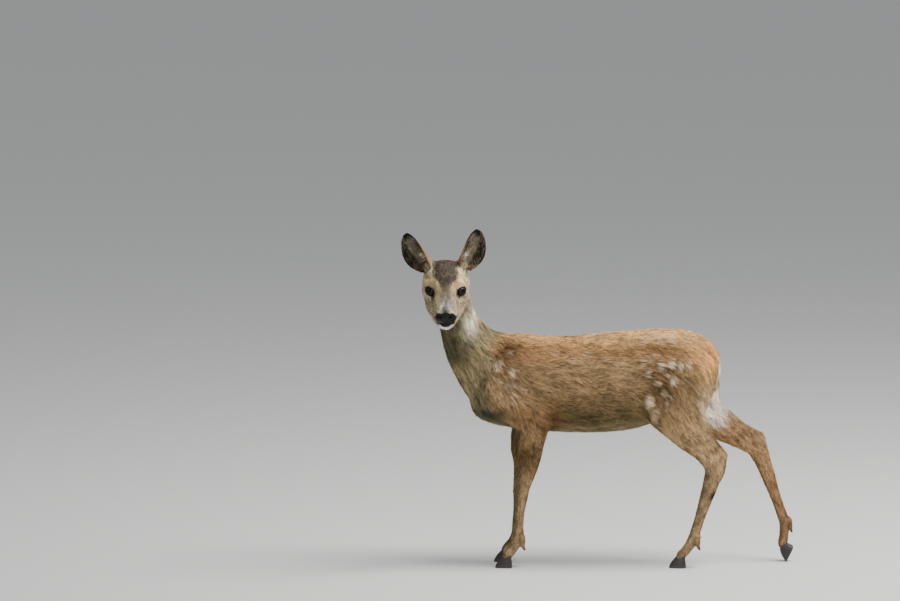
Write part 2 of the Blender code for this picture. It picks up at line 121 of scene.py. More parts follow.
LENS, CAMERA_DISTANCE, CAMERA_RISE = 300, 15.04, 7
camera_target = at(-301.36, 0, 535.33)
rise = math.radians(CAMERA_RISE)
camera = added("camera", bpy.data.cameras.new("camera"))
camera.data.lens = LENS
camera.data.sensor_width = 36
camera.data.clip_end = 100
camera.location = camera_target + CAMERA_DISTANCE * Vector((0, -math.cos(rise), math.sin(rise)))
camera.rotation_euler = (math.radians(90) - rise, 0, 0)
bpy.context.scene.camera = camera

# %% Floor and light


def soft_lamp(name, place, aim, size, power):
    lamp = bpy.data.lights.new(name, "AREA")
    lamp.shape = "DISK"
    lamp.size = size
    lamp.energy = power
    made = added(name, lamp)
    made.location = place
    made.rotation_euler = (Vector(aim) - Vector(place)).to_track_quat("-Z", "Y").to_euler()


soft_lamp("sky_lamp", (1.2, -0.35, 3.0), (0, 0, 0.35), 2.0, 165)
soft_lamp("front_lamp", (0.2, -3.2, 1.6), (-0.1, 0, 0.35), 1.8, 25)
world = bpy.data.worlds.new("even sky")
world.use_nodes = True
world.node_tree.nodes["Background"].inputs["Color"].default_value = (0.93, 0.96, 1.0, 1)
world.node_tree.nodes["Background"].inputs["Strength"].default_value = 0.48
bpy.context.scene.world = world

FLOOR_REACH = 14
floor_mesh = bpy.data.meshes.new("floor")
corners = [(FLOOR_REACH * x, FLOOR_REACH * y, 0) for x, y in ((-1, -1), (1, -1), (1, 1), (-1, 1))]
floor_mesh.from_pydata(corners, [], [(0, 1, 2, 3)])
floor = added("floor", floor_mesh)
floor_finish = bpy.data.materials.new("pale floor")
floor_finish.use_nodes = True
floor_shader = floor_finish.node_tree.nodes["Principled BSDF"]
floor_shader.inputs["Base Color"].default_value = (0.66, 0.65, 0.63, 1)
floor_shader.inputs["Roughness"].default_value = 0.9
floor_mesh.materials.append(floor_finish)

# %% [markdown]
# ## The skin
# A real animal has one skin. Ours is made in two passes. First all the solids of flesh are swollen a
# hair's breadth, so that the thin cuts between them close, and are fused and smoothed on a coarse grid.
# Then the head and finely made ears are fused with that body on a fine grid. A voxel remesh is the tool
# for both: it doesn't mind how many pieces overlap.

# %% Helpers for fusing


def object_from(name, form):
    mesh = bpy.data.meshes.new(name)
    form.to_mesh(mesh)
    form.free()
    return added(name, mesh)


def applied(target):
    """Turns an object's modifiers into its mesh."""
    bpy.context.view_layer.update()
    graph = bpy.context.evaluated_depsgraph_get()
    mesh = bpy.data.meshes.new_from_object(target.evaluated_get(graph))
    target.modifiers.clear()
    target.data = mesh
    return target


def swollen_nodes(names, swell):
    """One bmesh of these solids, welded and swollen by some millimetres."""
    whole = bmesh.new()
    for name in names:
        part = bmesh.new()
        part.from_mesh(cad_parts[name].data)
        bmesh.ops.remove_doubles(part, verts=part.verts[:], dist=1e-6)
        bmesh.ops.recalc_face_normals(part, faces=part.faces[:])
        part.normal_update()
        for vert in part.verts:
            vert.co += vert.normal * swell * MM
        mesh = bpy.data.meshes.new("part")
        part.to_mesh(mesh)
        part.free()
        whole.from_mesh(mesh)
        bpy.data.meshes.remove(mesh)
    return whole


def fuse(target, cell, easing):
    remesh = target.modifiers.new("Fuse", "REMESH")
    remesh.mode = "VOXEL"
    remesh.voxel_size = cell * MM
    smooth = target.modifiers.new("Ease", "SMOOTH")
    smooth.factor = 0.5
    smooth.iterations = easing
    return applied(target)


FLESH = [
    name
    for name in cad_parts
    if name.startswith(("trunk", "neck", "head", "tail", "foreleg", "hindleg"))
]
EARS = ["ear_left", "ear_right"]
print("flesh:", FLESH)

# %% [markdown]
# ### Ears
# An ear is a cupped leaf. It is closed like a tube at the root and opens towards a soft tip. Rows of
# arcs describe it well: each row has a width, a curl and a little sag. The solids have the same leaf on
# a coarse grid; here it gets a fine one.

# %% Ear leaves
EAR_LENGTH = 82
EAR_LEANS = {"left": 0.45, "right": 0.74}
EAR_ROWS = [
    # share of the length, half width round the curve, curl in degrees, sag, outward swing
    (0.00, 31.0, 250, 4, -3),
    (0.16, 34.0, 210, 2, -1),
    (0.34, 34.0, 160, 0, 3),
    (0.54, 30.5, 125, -1, 4),
    (0.76, 23.0, 105, -1.5, 2),
    (0.92, 12.5, 80, -0.5, -0.5),
    (1.00, 4.0, 60, 0.5, -2),
]


def eased(rows, place):
    """Numbers read from a smooth curve through the rows, at a place from 0 to 1."""
    last = len(rows) - 1
    k = min(int(place * last), last - 1)
    t = place * last - k
    before, here, after, then = (np.array(rows[max(0, min(last, k + j))], float) for j in (-1, 0, 1, 2))
    bend = 2 * before - 5 * here + 4 * after - then
    return here + 0.5 * t * (after - before + t * (bend + t * (3 * (here - after) + then - before)))


def ear_axes(side):
    """Root, up, front and outward directions of an ear, in the head's own axes."""
    out = LEFT_OF_HEAD[side]
    up = Vector((-0.46, EAR_LEANS[side] * out, 0.78)).normalized()
    front = Vector((1.0, 0.22 * out, 0.0))
    front = (front - up * front.dot(up)).normalized()
    return Vector((-46, 34 * out, 23)), up, front, front.cross(up) * -out


def ear_point(side, share, turn, inwards=0.0):
    """A point of an ear. share runs from root to tip, turn from -0.5 to 0.5 across it."""
    root, up, front, across = ear_axes(side)
    share, half_width, curl, sag, swing = eased(EAR_ROWS, share)
    curl = math.radians(curl)
    radius = 2 * half_width / curl
    angle = curl * turn
    reach = radius - inwards
    point = root + up * (share * EAR_LENGTH + 4 * math.sin(math.pi * share) * math.cos(angle))
    point += across * (reach * math.sin(angle) + swing)
    point += front * (radius - reach * math.cos(angle) + sag - 9)
    return point


def ear_leaf(side, rows=44, columns=36, thickness=2.6):
    grid = bmesh.new()
    lines = [
        [
            grid.verts.new(in_head(*ear_point(side, i / rows, j / columns - 0.5)))
            for j in range(columns + 1)
        ]
        for i in range(rows + 1)
    ]
    for low, high in zip(lines, lines[1:]):
        for j in range(columns):
            grid.faces.new((low[j], low[j + 1], high[j + 1], high[j]))
    bmesh.ops.recalc_face_normals(grid, faces=grid.faces[:])
    made = object_from("leaf", grid)
    thick = made.modifiers.new("Thickness", "SOLIDIFY")
    thick.thickness = thickness * MM
    thick.offset = 0
    return applied(made)


def ear_knob(side):
    root, _, front, across = ear_axes(side)
    centre = root - front * 2 - across * 4
    knob = bmesh.new()
    bmesh.ops.create_icosphere(knob, subdivisions=4, radius=1)
    shape = Matrix.Diagonal((15 * MM, 16 * MM, 14 * MM, 1))
    place = Matrix.Translation(in_head(*centre)) @ HEAD_TURN.to_4x4() @ shape
    bmesh.ops.transform(knob, matrix=place, verts=knob.verts)
    return object_from("knob", knob)


# %% Fuse the body, then the head, ears and eyeballs
CLOSE_CUTS = 0.25
EYE_COVER = 1.5  # skin over the eyeball, before the lids are opened
THROAT_IN_HEAD = (-46, 0, -56)
THROAT = in_head(*THROAT_IN_HEAD)
ALONG_NECK = Vector((-0.03, -0.62, 0.785)).normalized()
BODY_CELL, BODY_EASING = 3.2, 9
SKIN_CELL, SKIN_EASING = 1.5, 4
OVERLAP = 0.02  # how far the body reaches up into the head, in metres
CUSHION = ((0, 0, 5.2), (0.4, 4, 6.0), (0.8, 9, 6.5), (1.15, 15, 6.5))  # share of the way, climb, radius


def covered_eye(side):
    form = bmesh.new()
    bmesh.ops.create_icosphere(form, subdivisions=4, radius=(EYE_RADIUS + EYE_COVER) * MM)
    centre = in_head(EYE_AHEAD, EYE_APART * LEFT_OF_HEAD[side], EYE_ABOVE)
    bmesh.ops.translate(form, verts=form.verts, vec=centre)
    return object_from("covered eye", form)


def dewclaw_cushion(name, legs):
    """The flesh behind a pastern that carries a dewclaw, in a row of balls that runs up into the leg."""
    form = bmesh.new()
    top = Vector(middle_of(name)[:2] + (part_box(name)[1].z - 2 * MM,))
    for share, climb, radius in CUSHION:
        ball = bmesh.ops.create_icosphere(form, subdivisions=3, radius=radius * MM)
        raised = top + Vector((0, 0, climb * MM))
        centre = raised.lerp(legs.find_nearest(raised)[0], share)
        bmesh.ops.translate(form, verts=ball["verts"], vec=centre)
    return object_from("cushion", form)


coarse = object_from("coarse", swollen_nodes(FLESH, CLOSE_CUTS))
fuse(coarse, BODY_CELL, BODY_EASING)
legs = BVHTree.FromObject(coarse, bpy.context.evaluated_depsgraph_get())
below = bmesh.new()
below.from_mesh(coarse.data)
bmesh.ops.bisect_plane(
    below,
    geom=below.verts[:] + below.edges[:] + below.faces[:],
    plane_co=THROAT + ALONG_NECK * OVERLAP,
    plane_no=ALONG_NECK,
    clear_outer=True,
)
bmesh.ops.holes_fill(below, edges=[edge for edge in below.edges if edge.is_boundary])
fine = swollen_nodes(["head"], CLOSE_CUTS)
pieces = [object_from("below", below)]
pieces += [make(side) for side in LEFT_OF_HEAD for make in (ear_leaf, ear_knob, covered_eye)]
pieces += [dewclaw_cushion(name, legs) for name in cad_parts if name.startswith("dewclaw")]
for piece in pieces:
    fine.from_mesh(piece.data)
    bpy.data.objects.remove(piece, do_unlink=True)
bpy.data.objects.remove(coarse, do_unlink=True)
skin = object_from("skin", fine)
fuse(skin, SKIN_CELL, SKIN_EASING)
print("skin:", len(skin.data.polygons), "faces")

# %% [markdown]
# ### Fine where it matters
# One cell size for the whole skin is too fine for a flank and too coarse for an eyelid. So the body is
# thinned with a Decimate modifier, which a vertex group keeps off the head, and the faces around eyes,
# nose and mouth are then divided.

# %% Thin the body and divide the face
BODY_KEPT = 0.06
BODY_ENDS = 4  # millimetres above the throat
FACE_ROUNDS = ((19, 57), (16, 68))  # reach round the eyes, and how far ahead the nose's part begins
EYE_CENTRES = {side: np.array((EYE_AHEAD, EYE_APART * out, EYE_ABOVE)) for side, out in LEFT_OF_HEAD.items()}


def corners_of(mesh):
    """A mesh's points and normals, as arrays."""
    points = np.empty(len(mesh.vertices) * 3, np.float32)
    mesh.vertices.foreach_get("co", points)
    normals = np.empty(len(mesh.vertices) * 3, np.float32)
    mesh.vertex_normals.foreach_get("vector", normals)
    return points.reshape(-1, 3).astype(float), normals.reshape(-1, 3).astype(float)


def from_eyes(head_points):
    return np.min([np.linalg.norm(head_points - eye, axis=1) for eye in EYE_CENTRES.values()], axis=0)


points, _ = corners_of(skin.data)
above_throat = (points - np.array(THROAT)) @ np.array(ALONG_NECK) / MM
body_group = skin.vertex_groups.new(name="body")
body_group.add(np.flatnonzero(above_throat < BODY_ENDS).tolist(), 1.0, "REPLACE")
thin = skin.modifiers.new("Thin the body", "DECIMATE")
thin.vertex_group = "body"
body_part = float((above_throat < BODY_ENDS).mean())
thin.ratio = 1 - body_part * (1 - BODY_KEPT)
applied(skin)
print("skin, thinned:", len(skin.data.polygons), "faces")

form = bmesh.new()
form.from_mesh(skin.data)
for reach_of_eye, reach_of_nose in FACE_ROUNDS:
    form.verts.ensure_lookup_table()
    places = head_mm(np.array([vert.co[:] for vert in form.verts]))
    near = (from_eyes(places) < reach_of_eye) | ((places[:, 0] > reach_of_nose) & (places[:, 2] > -60))
    chosen = [edge for edge in form.edges if near[edge.verts[0].index] and near[edge.verts[1].index]]
    bmesh.ops.subdivide_edges(form, edges=chosen, cuts=1, use_grid_fill=True)
bmesh.ops.triangulate(form, faces=form.faces[:])
form.to_mesh(skin.data)
form.free()
skin.vertex_groups.clear()
print("skin:", len(skin.data.polygons), "triangles")

# %% [markdown]
# ## Rules of the coat
# Length, lie and colour of the hair change over the body, and skin and hair have to agree on them. So
# each is one function of the place on the body. Landmarks in millimetres, blended softly, are enough: a
# deer's coat has no hard edges. We work on whole arrays of points at once, because there are hundreds
# of thousands.

# %% Soft steps, blobs and noise
rng = np.random.default_rng(7)
NOISE_SIDE = 32
noise_table = rng.random((NOISE_SIDE, NOISE_SIDE, NOISE_SIDE))


def step(low, high, values):
    """0 below low, 1 above high, and a soft rise between."""
    t = np.clip((values - low) / (high - low), 0, 1)
    return t * t * (3 - 2 * t)


def blob(points, centre, radii):
    """A soft spot: 1 at its centre, about a third at its radii."""
    return np.exp(-(((points - np.array(centre)) / np.array(radii)) ** 2).sum(1))


def soft_noise(points, size, offset=0.0):
    """Smooth random values from 0 to 1, with lumps of about this size."""
    places = points / size + 1000 + offset
    cell = np.floor(places).astype(int)
    t = places - cell
    t = t * t * (3 - 2 * t)
    total = np.zeros(len(points))
    for corner in np.ndindex(2, 2, 2):
        share = np.prod(np.where(corner, t, 1 - t), axis=1)
        x, y, z = ((cell + corner) % NOISE_SIDE).T
        total += share * noise_table[x, y, z]
    return total


def unit(vectors):
    return vectors / np.maximum(np.linalg.norm(vectors, axis=1, keepdims=True), 1e-9)


def direction(vector):
    """One vector, made one long."""
    return unit(np.array([vector]))[0]


# %% [markdown]
# ### Parts of the body
# How much a point belongs to the head, the muzzle, an ear or a leg is a number from 0 to 1.

# %% Shares of the body's parts
THROAT_IN_BODY = np.array(BETWEEN_EYES) + HEAD_AXES @ np.array(THROAT_IN_HEAD)


class Places:
    """Points of the body with their normals, and how much each belongs to every part."""

    def __init__(self, points, normals):
        self.body = body_mm(points)
        self.head = head_mm(points)
        self.normals = normals
        self.head_normals = normals @ HEAD_AXES
        x, y, z = self.body.T
        self.is_head = step(-14, 6, (self.body - THROAT_IN_BODY) @ np.array(ALONG_NECK))
        self.ear_share = np.zeros(len(points))
        self.is_ear = np.zeros(len(points))
        self.in_ear = np.zeros(len(points))
        self.ear_out = np.zeros(len(points))
        for side in LEFT_OF_HEAD:
            root, up, front, across = (np.array(axis) for axis in ear_axes(side))
            from_root = self.head - root
            share = from_root @ up / EAR_LENGTH
            aside = np.linalg.norm(from_root - np.outer(share * EAR_LENGTH, up), axis=1)
            mine = step(0.02, 0.12, share) * (aside < np.where(share < 0.2, 28, 40))
            self.is_ear = np.maximum(self.is_ear, mine)
            self.ear_share = np.where(mine > 0, share, self.ear_share)
            self.in_ear = np.where(mine > 0, step(-0.1, 0.35, self.head_normals @ front), self.in_ear)
            self.ear_out = np.where(mine > 0, from_root @ across, self.ear_out)
        self.is_head *= 1 - self.is_ear
        self.seen_height = -0.6 * self.head[:, 0] + 0.8 * self.head[:, 2]  # as it looks from ahead and above
        self.aside = np.abs(self.head[:, 1])
        self.half_head = np.stack([self.head[:, 0], self.aside, self.head[:, 2]], 1)
        self.from_eye = from_eyes(self.head)
        trunk_low = 275 + 30 * step(100, 240, x)
        leg_side = np.abs(y) > 14
        self.is_leg = (1 - step(trunk_low - 40, trunk_low + 25, z)) * leg_side
        self.is_shank = 1 - step(165, 215, z)
        self.is_foot = 1 - step(40, 75, z)
        self.is_neck = (1 - self.is_head) * (1 - self.is_ear) * step(400, 440, z - 1.2 * (x + 250))
        self.is_muzzle = self.is_head * step(28, 62, self.head[:, 0])
        self.is_face = self.is_head * step(-40, 0, self.head[:, 0])

    def mixed(self, trunk, neck, leg, shank, foot, head, face, muzzle, ear):
        """A value for every point, from one value for each part."""
        value = np.full(len(self.body), float(trunk))
        for share, part in (
            (self.is_neck, neck),
            (self.is_leg, leg),
            (self.is_leg * self.is_shank, shank),
            (self.is_leg * self.is_foot, foot),
            (self.is_head, head),
            (self.is_face, face),
            (self.is_muzzle, muzzle),
            (self.is_ear, ear),
        ):
            value += share * (part - value)
        return value


def coat_depth(places):
    """How far the skin lies under the tips of the coat, in millimetres."""
    return places.mixed(
        trunk=3.0, neck=2.8, leg=2.0, shank=1.2, foot=0.8, head=1.4, face=0.9, muzzle=0.5, ear=0.45
    )


# %% Sink the skin by the coat's depth
skin_points, skin_normals = corners_of(skin.data)
depth = coat_depth(Places(skin_points, skin_normals))
skin_points -= skin_normals * (depth * MM)[:, None]
print("coat depth from", depth.min().round(2), "to", depth.max().round(2), "mm")

# %% [markdown]
# ### Lids
# The lids follow the eyeball, so we shape them in angles round its centre. Between the lids the skin is
# pushed under the eyeball. Just outside their edge it stands a millimetre proud as the lid's rim, and a
# shallow fold runs round it. A young deer's eye opens from a high outer corner to a low inner one under
# a round upper lid, so the edge is a short table of how far the lids open in each direction.

# %% Open the eyes
GAZE = (46, 22)  # degrees out from the nose's direction, and up
LIDS = (28, 25)  # the same for the middle of the opening
# Directions round the opening, from inwards and up, and how many degrees the lids open in each.
LID_TURNS = (-165, -140, -110, -75, -54, -38, -22, 0, 21, 48, 83, 110, 132, 152, 165, 178)
LID_OPENS = (37, 30, 28, 31, 42, 56, 55, 51, 45, 40, 37, 40, 47, 57, 63, 50)
LID_STAND = 1.15
LID_REACH = 24  # from the eyeball's centre
PUSHED_UNDER = 2.2  # how deep the skin between the lids goes under the eyeball


def eye_axes(side, turned_out, raised):
    """A direction from the eyeball's centre, and inwards to the nose and up from there."""
    out = LEFT_OF_HEAD[side]
    turn = Matrix.Rotation(math.radians(turned_out * out), 3, "Z")
    turn = turn @ Matrix.Rotation(math.radians(-raised), 3, "Y")
    return [np.array(turn @ Vector(axis)) for axis in ((1, 0, 0), (0, -out, 0), (0, 0, 1))]


def lid_opening(turn):
    return np.interp(turn, LID_TURNS, LID_OPENS, period=360)


def from_lid_edge(head_points, side):
    """Millimetres outside the lids' edge, along the eyeball, and the direction round it in degrees."""
    middle, inwards, up = eye_axes(side, *LIDS)
    away = head_points - EYE_CENTRES[side]
    ahead = away @ middle
    along = np.degrees(np.arctan2(away @ inwards, ahead))
    height = np.degrees(np.arctan2(away @ up, np.hypot(ahead, away @ inwards)))
    turn = np.degrees(np.arctan2(height, along))
    outside = np.radians(np.hypot(height, along) - lid_opening(turn)) * EYE_RADIUS
    return np.where(ahead > -6, outside, 30), turn


head_points = head_mm(skin_points)
for side, eye in EYE_CENTRES.items():
    outside, turn = from_lid_edge(head_points, side)
    away = head_points - eye
    radius = np.linalg.norm(away, axis=1)
    near = (radius < LID_REACH) & (outside < 9)
    rim = EYE_RADIUS + LID_STAND * np.sqrt(np.clip(outside / 0.8, 0.25, 1))
    rim += 0.25 * np.exp(-(((outside - 1.4) / 0.8) ** 2))
    fold = np.where(turn > -20, 0.8, 0.5) * np.exp(-(((outside - 3.4) / 0.8) ** 2))
    fold *= 1 - np.exp(-(((turn + 38) / 25) ** 2))
    shaped = rim + (radius - rim) * step(1.6, 6.5, outside) - fold
    shaped = np.where(outside < 0, EYE_RADIUS - PUSHED_UNDER, shaped)
    head_points[near] = (eye + away * (shaped / radius)[:, None])[near]

# %% [markdown]
# ### Nose and mouth
# The bare nose is a pad with a comma-shaped nostril at each side and a groove down its middle. The line
# of the mouth runs back from under it. They are pressed into the skin along its normals.

# %% Press in nostrils, groove and mouth


def nostrils(head_points):
    """1 in the middle of a nostril and its comma's tail. The points come with their distance aside."""
    round_part = blob(head_points, (71, 13.0, -8.5), (7, 4.4, 3.5))
    return np.clip(1.15 * round_part + blob(head_points, (65, 18, -6), (6, 4.0, 2.2)), 0, 1)


def mouth_height(hx):
    """How high the closed lips meet, for a place along the muzzle."""
    return -29.5 + 2.5 * step(66, 78, hx) - 1.5 * step(60, 40, hx)


hx, hy, hz = head_points.T
aside = np.abs(hy)
nostril = np.stack([hx, aside, hz], 1)
dent = 4.4 * nostrils(nostril)
dent -= 0.9 * blob(nostril, (70, 13.0, -3), (6, 6, 2.0))
dent += 0.9 * np.exp(-((hy / 0.9) ** 2)) * step(70, 74, hx) * step(-11, -14, hz) * step(-30, -26, hz)
lips = np.exp(-(((hz - mouth_height(hx)) / 0.95) ** 2)) * step(38, 48, hx)
dent += 1.5 * lips * step(-40, -30, hz)
dent -= 0.5 * np.exp(-(((hz - mouth_height(hx) - 2.4) / 1.3) ** 2)) * step(50, 60, hx)
head_points -= skin_normals @ HEAD_AXES * dent[:, None] * (hx > 30)[:, None]
skin_points = (np.array(head_centre) + head_points @ HEAD_AXES.T) * MM
skin.data.vertices.foreach_set("co", skin_points.astype(np.float32).ravel())
skin.data.update()

# %% [markdown]
# ### Lie of the coat
# Hair streams from the nose back over the face, down the neck, along the trunk and down the legs. A few
# streams with a place, a reach and a direction are mixed; each point takes most from the nearest ones.

# %% Streams of hair
BOTH, LEFT, RIGHT = 0, -1, 1
STREAMS = [
    # side, x, z, reach, and the direction in x, y, z
    (BOTH, -300, 575, 40, (0.1, 0.25, -1.0)),
    (BOTH, -285, 490, 45, (0.3, 0.0, -1.0)),
    (BOTH, -250, 430, 45, (0.6, 0.0, -0.8)),
    (BOTH, -258, 350, 40, (0.3, 0.0, -1.0)),
    (BOTH, -190, 450, 45, (1.0, 0.0, -0.35)),
    (BOTH, -195, 385, 45, (0.6, 0.0, -0.8)),
    (BOTH, -180, 320, 40, (0.5, 0.0, -0.8)),
    (BOTH, -100, 440, 55, (1.0, 0.0, -0.12)),
    (BOTH, -90, 350, 55, (1.0, 0.0, -0.3)),
    (BOTH, 0, 445, 60, (1.0, 0.0, -0.06)),
    (BOTH, 0, 330, 60, (1.0, 0.0, -0.15)),
    (BOTH, 100, 445, 55, (1.0, 0.0, -0.12)),
    (BOTH, 90, 330, 50, (0.85, 0.0, -0.5)),
    (BOTH, 185, 440, 45, (0.9, 0.0, -0.5)),
    (BOTH, 165, 370, 45, (0.6, 0.0, -0.8)),
    (BOTH, 240, 400, 35, (0.2, 0.0, -1.0)),
    (BOTH, -145, 240, 45, (-0.12, 0.0, -1.0)),
    (BOTH, -158, 160, 45, (-0.08, 0.0, -1.0)),
    (BOTH, -165, 90, 45, (-0.05, 0.0, -1.0)),
    (BOTH, -185, 25, 28, (-0.6, 0.0, -0.8)),
    (LEFT, 150, 300, 40, (0.5, 0.0, -0.85)),
    (LEFT, 195, 252, 30, (0.7, 0.0, -0.7)),
    (LEFT, 228, 205, 26, (0.1, 0.0, -1.0)),
    (LEFT, 208, 125, 45, (-0.3, 0.0, -1.0)),
    (LEFT, 170, 30, 30, (-0.6, 0.0, -0.8)),
    (RIGHT, 200, 310, 38, (0.6, 0.0, -0.8)),
    (RIGHT, 258, 265, 32, (0.85, 0.0, -0.5)),
    (RIGHT, 318, 228, 28, (0.6, 0.0, -0.8)),
    (RIGHT, 345, 150, 45, (0.33, 0.0, -1.0)),
    (RIGHT, 372, 60, 35, (0.1, 0.0, -1.0)),
]


def lie_of(places):
    """The direction in which the hair lies along the skin, for every point."""
    x, y, z = places.body.T
    flow = np.zeros((len(x), 3))
    for side, at_x, at_z, reach, direction in STREAMS:
        share = np.exp(-((x - at_x) ** 2 + (z - at_z) ** 2) / reach**2) + 1e-9
        if side:
            share = share * step(-12, 12, y * side)
        flow += share[:, None] * unit(np.array([direction]))
    flow = unit(flow)
    hx, hy, hz = places.head.T
    outwards = np.sign(hy) * step(4, 30, np.abs(hy))
    on_head = np.stack([-np.ones_like(hx), 0.35 * outwards, -0.5 * step(5, -35, hz)], 1)
    on_head = unit(on_head)
    for side, eye in EYE_CENTRES.items():
        outside, _ = from_lid_edge(places.head, side)
        to_eye = unit(eye - places.head)
        near = (1 - step(2, 13, outside)) * (places.from_eye < 30)
        into = np.maximum((on_head * to_eye).sum(1) + 0.35, 0) * near
        on_head -= into[:, None] * to_eye
    flow += places.is_head[:, None] * (unit(on_head) @ HEAD_AXES.T - flow)
    for side in LEFT_OF_HEAD:
        _, up, _, across = (np.array(axis) for axis in ear_axes(side))
        mine = places.is_ear * (places.head[:, 1] * LEFT_OF_HEAD[side] > 0)
        tilt = places.in_ear * np.clip(places.ear_out / 40, -1, 1)
        along = unit(up + tilt[:, None] * across * 0.6)
        flow += mine[:, None] * (along @ HEAD_AXES.T - flow)
    flow -= places.normals * (flow * places.normals).sum(1, keepdims=True)
    return unit(flow)


# %% Streaks along the coat


def streaks(places, lie):
    """Long soft streaks from 0 to 1: noise averaged along the hair, so that it only changes across it."""
    reach = places.mixed(trunk=11, neck=11, leg=7, shank=6, foot=4, head=4, face=3, muzzle=2, ear=5)
    total = np.zeros(len(reach))
    for share in np.linspace(-1, 1, 7):
        moved = places.body + lie * (share * reach)[:, None]
        total += (0.55 * soft_noise(moved, 3.2, 2.2) + 0.45 * soft_noise(moved, 7.5, 7.7)) / 7
    return step(0.3, 0.7, total)


# %% [markdown]
# ### Colours of the coat
# The summer coat is orange-brown above and duller on the flank. Throat and breast are greyish buff, the
# rump is white, and the face has a dark forehead, tan brows and a white chin. Rows of pale spots still
# show on the haunch and shoulder. Painted shade darkens the low flank, belly, breast, front of the neck
# and a crease above the flank, a painted rim light brightens the neck behind the face, and a painted
# sky sheen lies on the bridge of the nose. Each marking is laid over the last one with its own softness.

# %% Colours and markings


def from_srgb(red, green, blue):
    values = np.array((red, green, blue)) / 255
    return np.where(values <= 0.04045, values / 12.92, ((values + 0.055) / 1.055) ** 2.4)


BACK = from_srgb(214, 169, 113)
RUMP_TAN = from_srgb(226, 166, 98)
SADDLE = from_srgb(172, 128, 84)
FLANK = from_srgb(164, 134, 94)
# Low flank and belly: partly their own duller hair, partly painted shade of the body's underside.
LOW_FLANK_AND_SHADE = from_srgb(98, 82, 52)
BELLY_AND_SHADE = from_srgb(126, 112, 82)
NECK_BUFF = from_srgb(150, 134, 98)
# A painted rim light for the neck behind the face.
PAINTED_NECK_RIM_LIGHT = from_srgb(248, 238, 212)
# Partly the neck's darker hair, partly painted shade with a green-grey cast.
NECK_DARK_AND_SHADE = from_srgb(114, 108, 78)
THIGH = from_srgb(178, 147, 106)
THIGH_PALE = from_srgb(216, 192, 150)
# Painted shade, with a green-grey cast, for under the breast and the low front of the neck.
PAINTED_BREAST_SHADE = from_srgb(50, 53, 40)
SHANK = from_srgb(160, 132, 96)
LEG_GREY = from_srgb(110, 96, 70)
RUST = from_srgb(146, 98, 56)
DARK_RUST = from_srgb(112, 78, 44)
DARK_BROWN = from_srgb(98, 70, 42)
SPOT_WHITE = from_srgb(220, 198, 164)
RUMP_WHITE = from_srgb(250, 240, 218)
FACE = from_srgb(188, 170, 134)
FACE_DARK = from_srgb(92, 78, 54)
CROWN_DARK = from_srgb(64, 55, 46)
BROW_TAN = from_srgb(238, 204, 148)
BRIDGE_BROWN = from_srgb(118, 102, 80)
# Grey of the lower bridge, with a painted bluish sheen of the sky.
BRIDGE_GREY_AND_SHEEN = from_srgb(108, 108, 114)
CREAM = from_srgb(222, 204, 174)
CHIN_WHITE = from_srgb(240, 236, 228)
LIP_BLACK = from_srgb(12, 12, 13)
NOSTRIL_BLACK = from_srgb(4, 4, 4)
LID_BLACK = from_srgb(22, 17, 15)
EAR_RIM = from_srgb(26, 22, 20)
EAR_INNER = from_srgb(118, 105, 84)
EAR_ROOT = from_srgb(84, 64, 44)
EAR_BACK = from_srgb(166, 130, 90)
EAR_PALE = from_srgb(212, 204, 184)

SPOTS = [
    # x, z, half length, half height, strength; the haunch first, then the shoulder, then the back
    (77, 460, 9, 6, 0.4),
    (109, 462, 8, 6, 0.45),
    (130, 460, 8, 6, 0.45),
    (155, 460, 7, 5, 0.25),
    (54, 458, 9, 5, 0.2),
    (100, 437, 5, 4, 0.4),
    (74, 417, 7, 7, 0.35),
    (90, 423, 5, 5, 0.3),
    (112, 412, 8, 8, 1.0),
    (134, 418, 8, 7, 1.0),
    (154, 416, 6, 8, 0.95),
    (170, 419, 6, 7, 0.6),
    (87, 396, 6, 7, 0.9),
    (125, 397, 5, 4, 0.6),
    (139, 388, 7, 9, 1.0),
    (104, 379, 6, 6, 0.8),
    (120, 361, 6, 7, 0.85),
    (134, 354, 4, 6, 0.6),
    (89, 341, 8, 15, 0.95),
    (102, 318, 7, 11, 0.6),
    (126, 337, 4, 9, 0.55),
    (-190, 436, 5, 6, 0.3),
    (-209, 414, 7, 10, 0.7),
    (-185, 401, 7, 9, 0.7),
    (-208, 385, 6, 5, 0.35),
    (-191, 377, 7, 6, 0.6),
    (-178, 378, 6, 9, 0.4),
    (-165, 367, 7, 5, 0.35),
    (-182, 354, 5, 10, 0.35),
    (-71, 459, 7, 4, 0.25),
    (-43, 462, 7, 4, 0.25),
    (-18, 456, 8, 4, 0.3),
    (-38, 434, 8, 6, 0.28),
    (-61, 419, 8, 5, 0.2),
    (-101, 437, 7, 5, 0.2),
    (2, 422, 9, 5, 0.22),
    (30, 460, 8, 4, 0.2),
]
FAR_SIDE_SHIFT = 7  # the spots of the right side stand a little further back


def spots_of(places, inner, outer):
    """How much each point lies in a pale spot, which fades between these two shares of its radius."""
    x, y, z = places.body.T
    x = x - FAR_SIDE_SHIFT * (y > 0)
    wobble = 3.2 * (soft_noise(places.body, 7, 3.3) - 0.5)
    strength = np.zeros(len(x))
    for at_x, at_z, half_length, half_height, bright in SPOTS:
        away = np.hypot((x - at_x + wobble) / half_length, (z - at_z + wobble) / half_height)
        strength = np.maximum(strength, bright * (1 - step(inner, outer, away)))
    return strength * step(12, 30, np.abs(y))


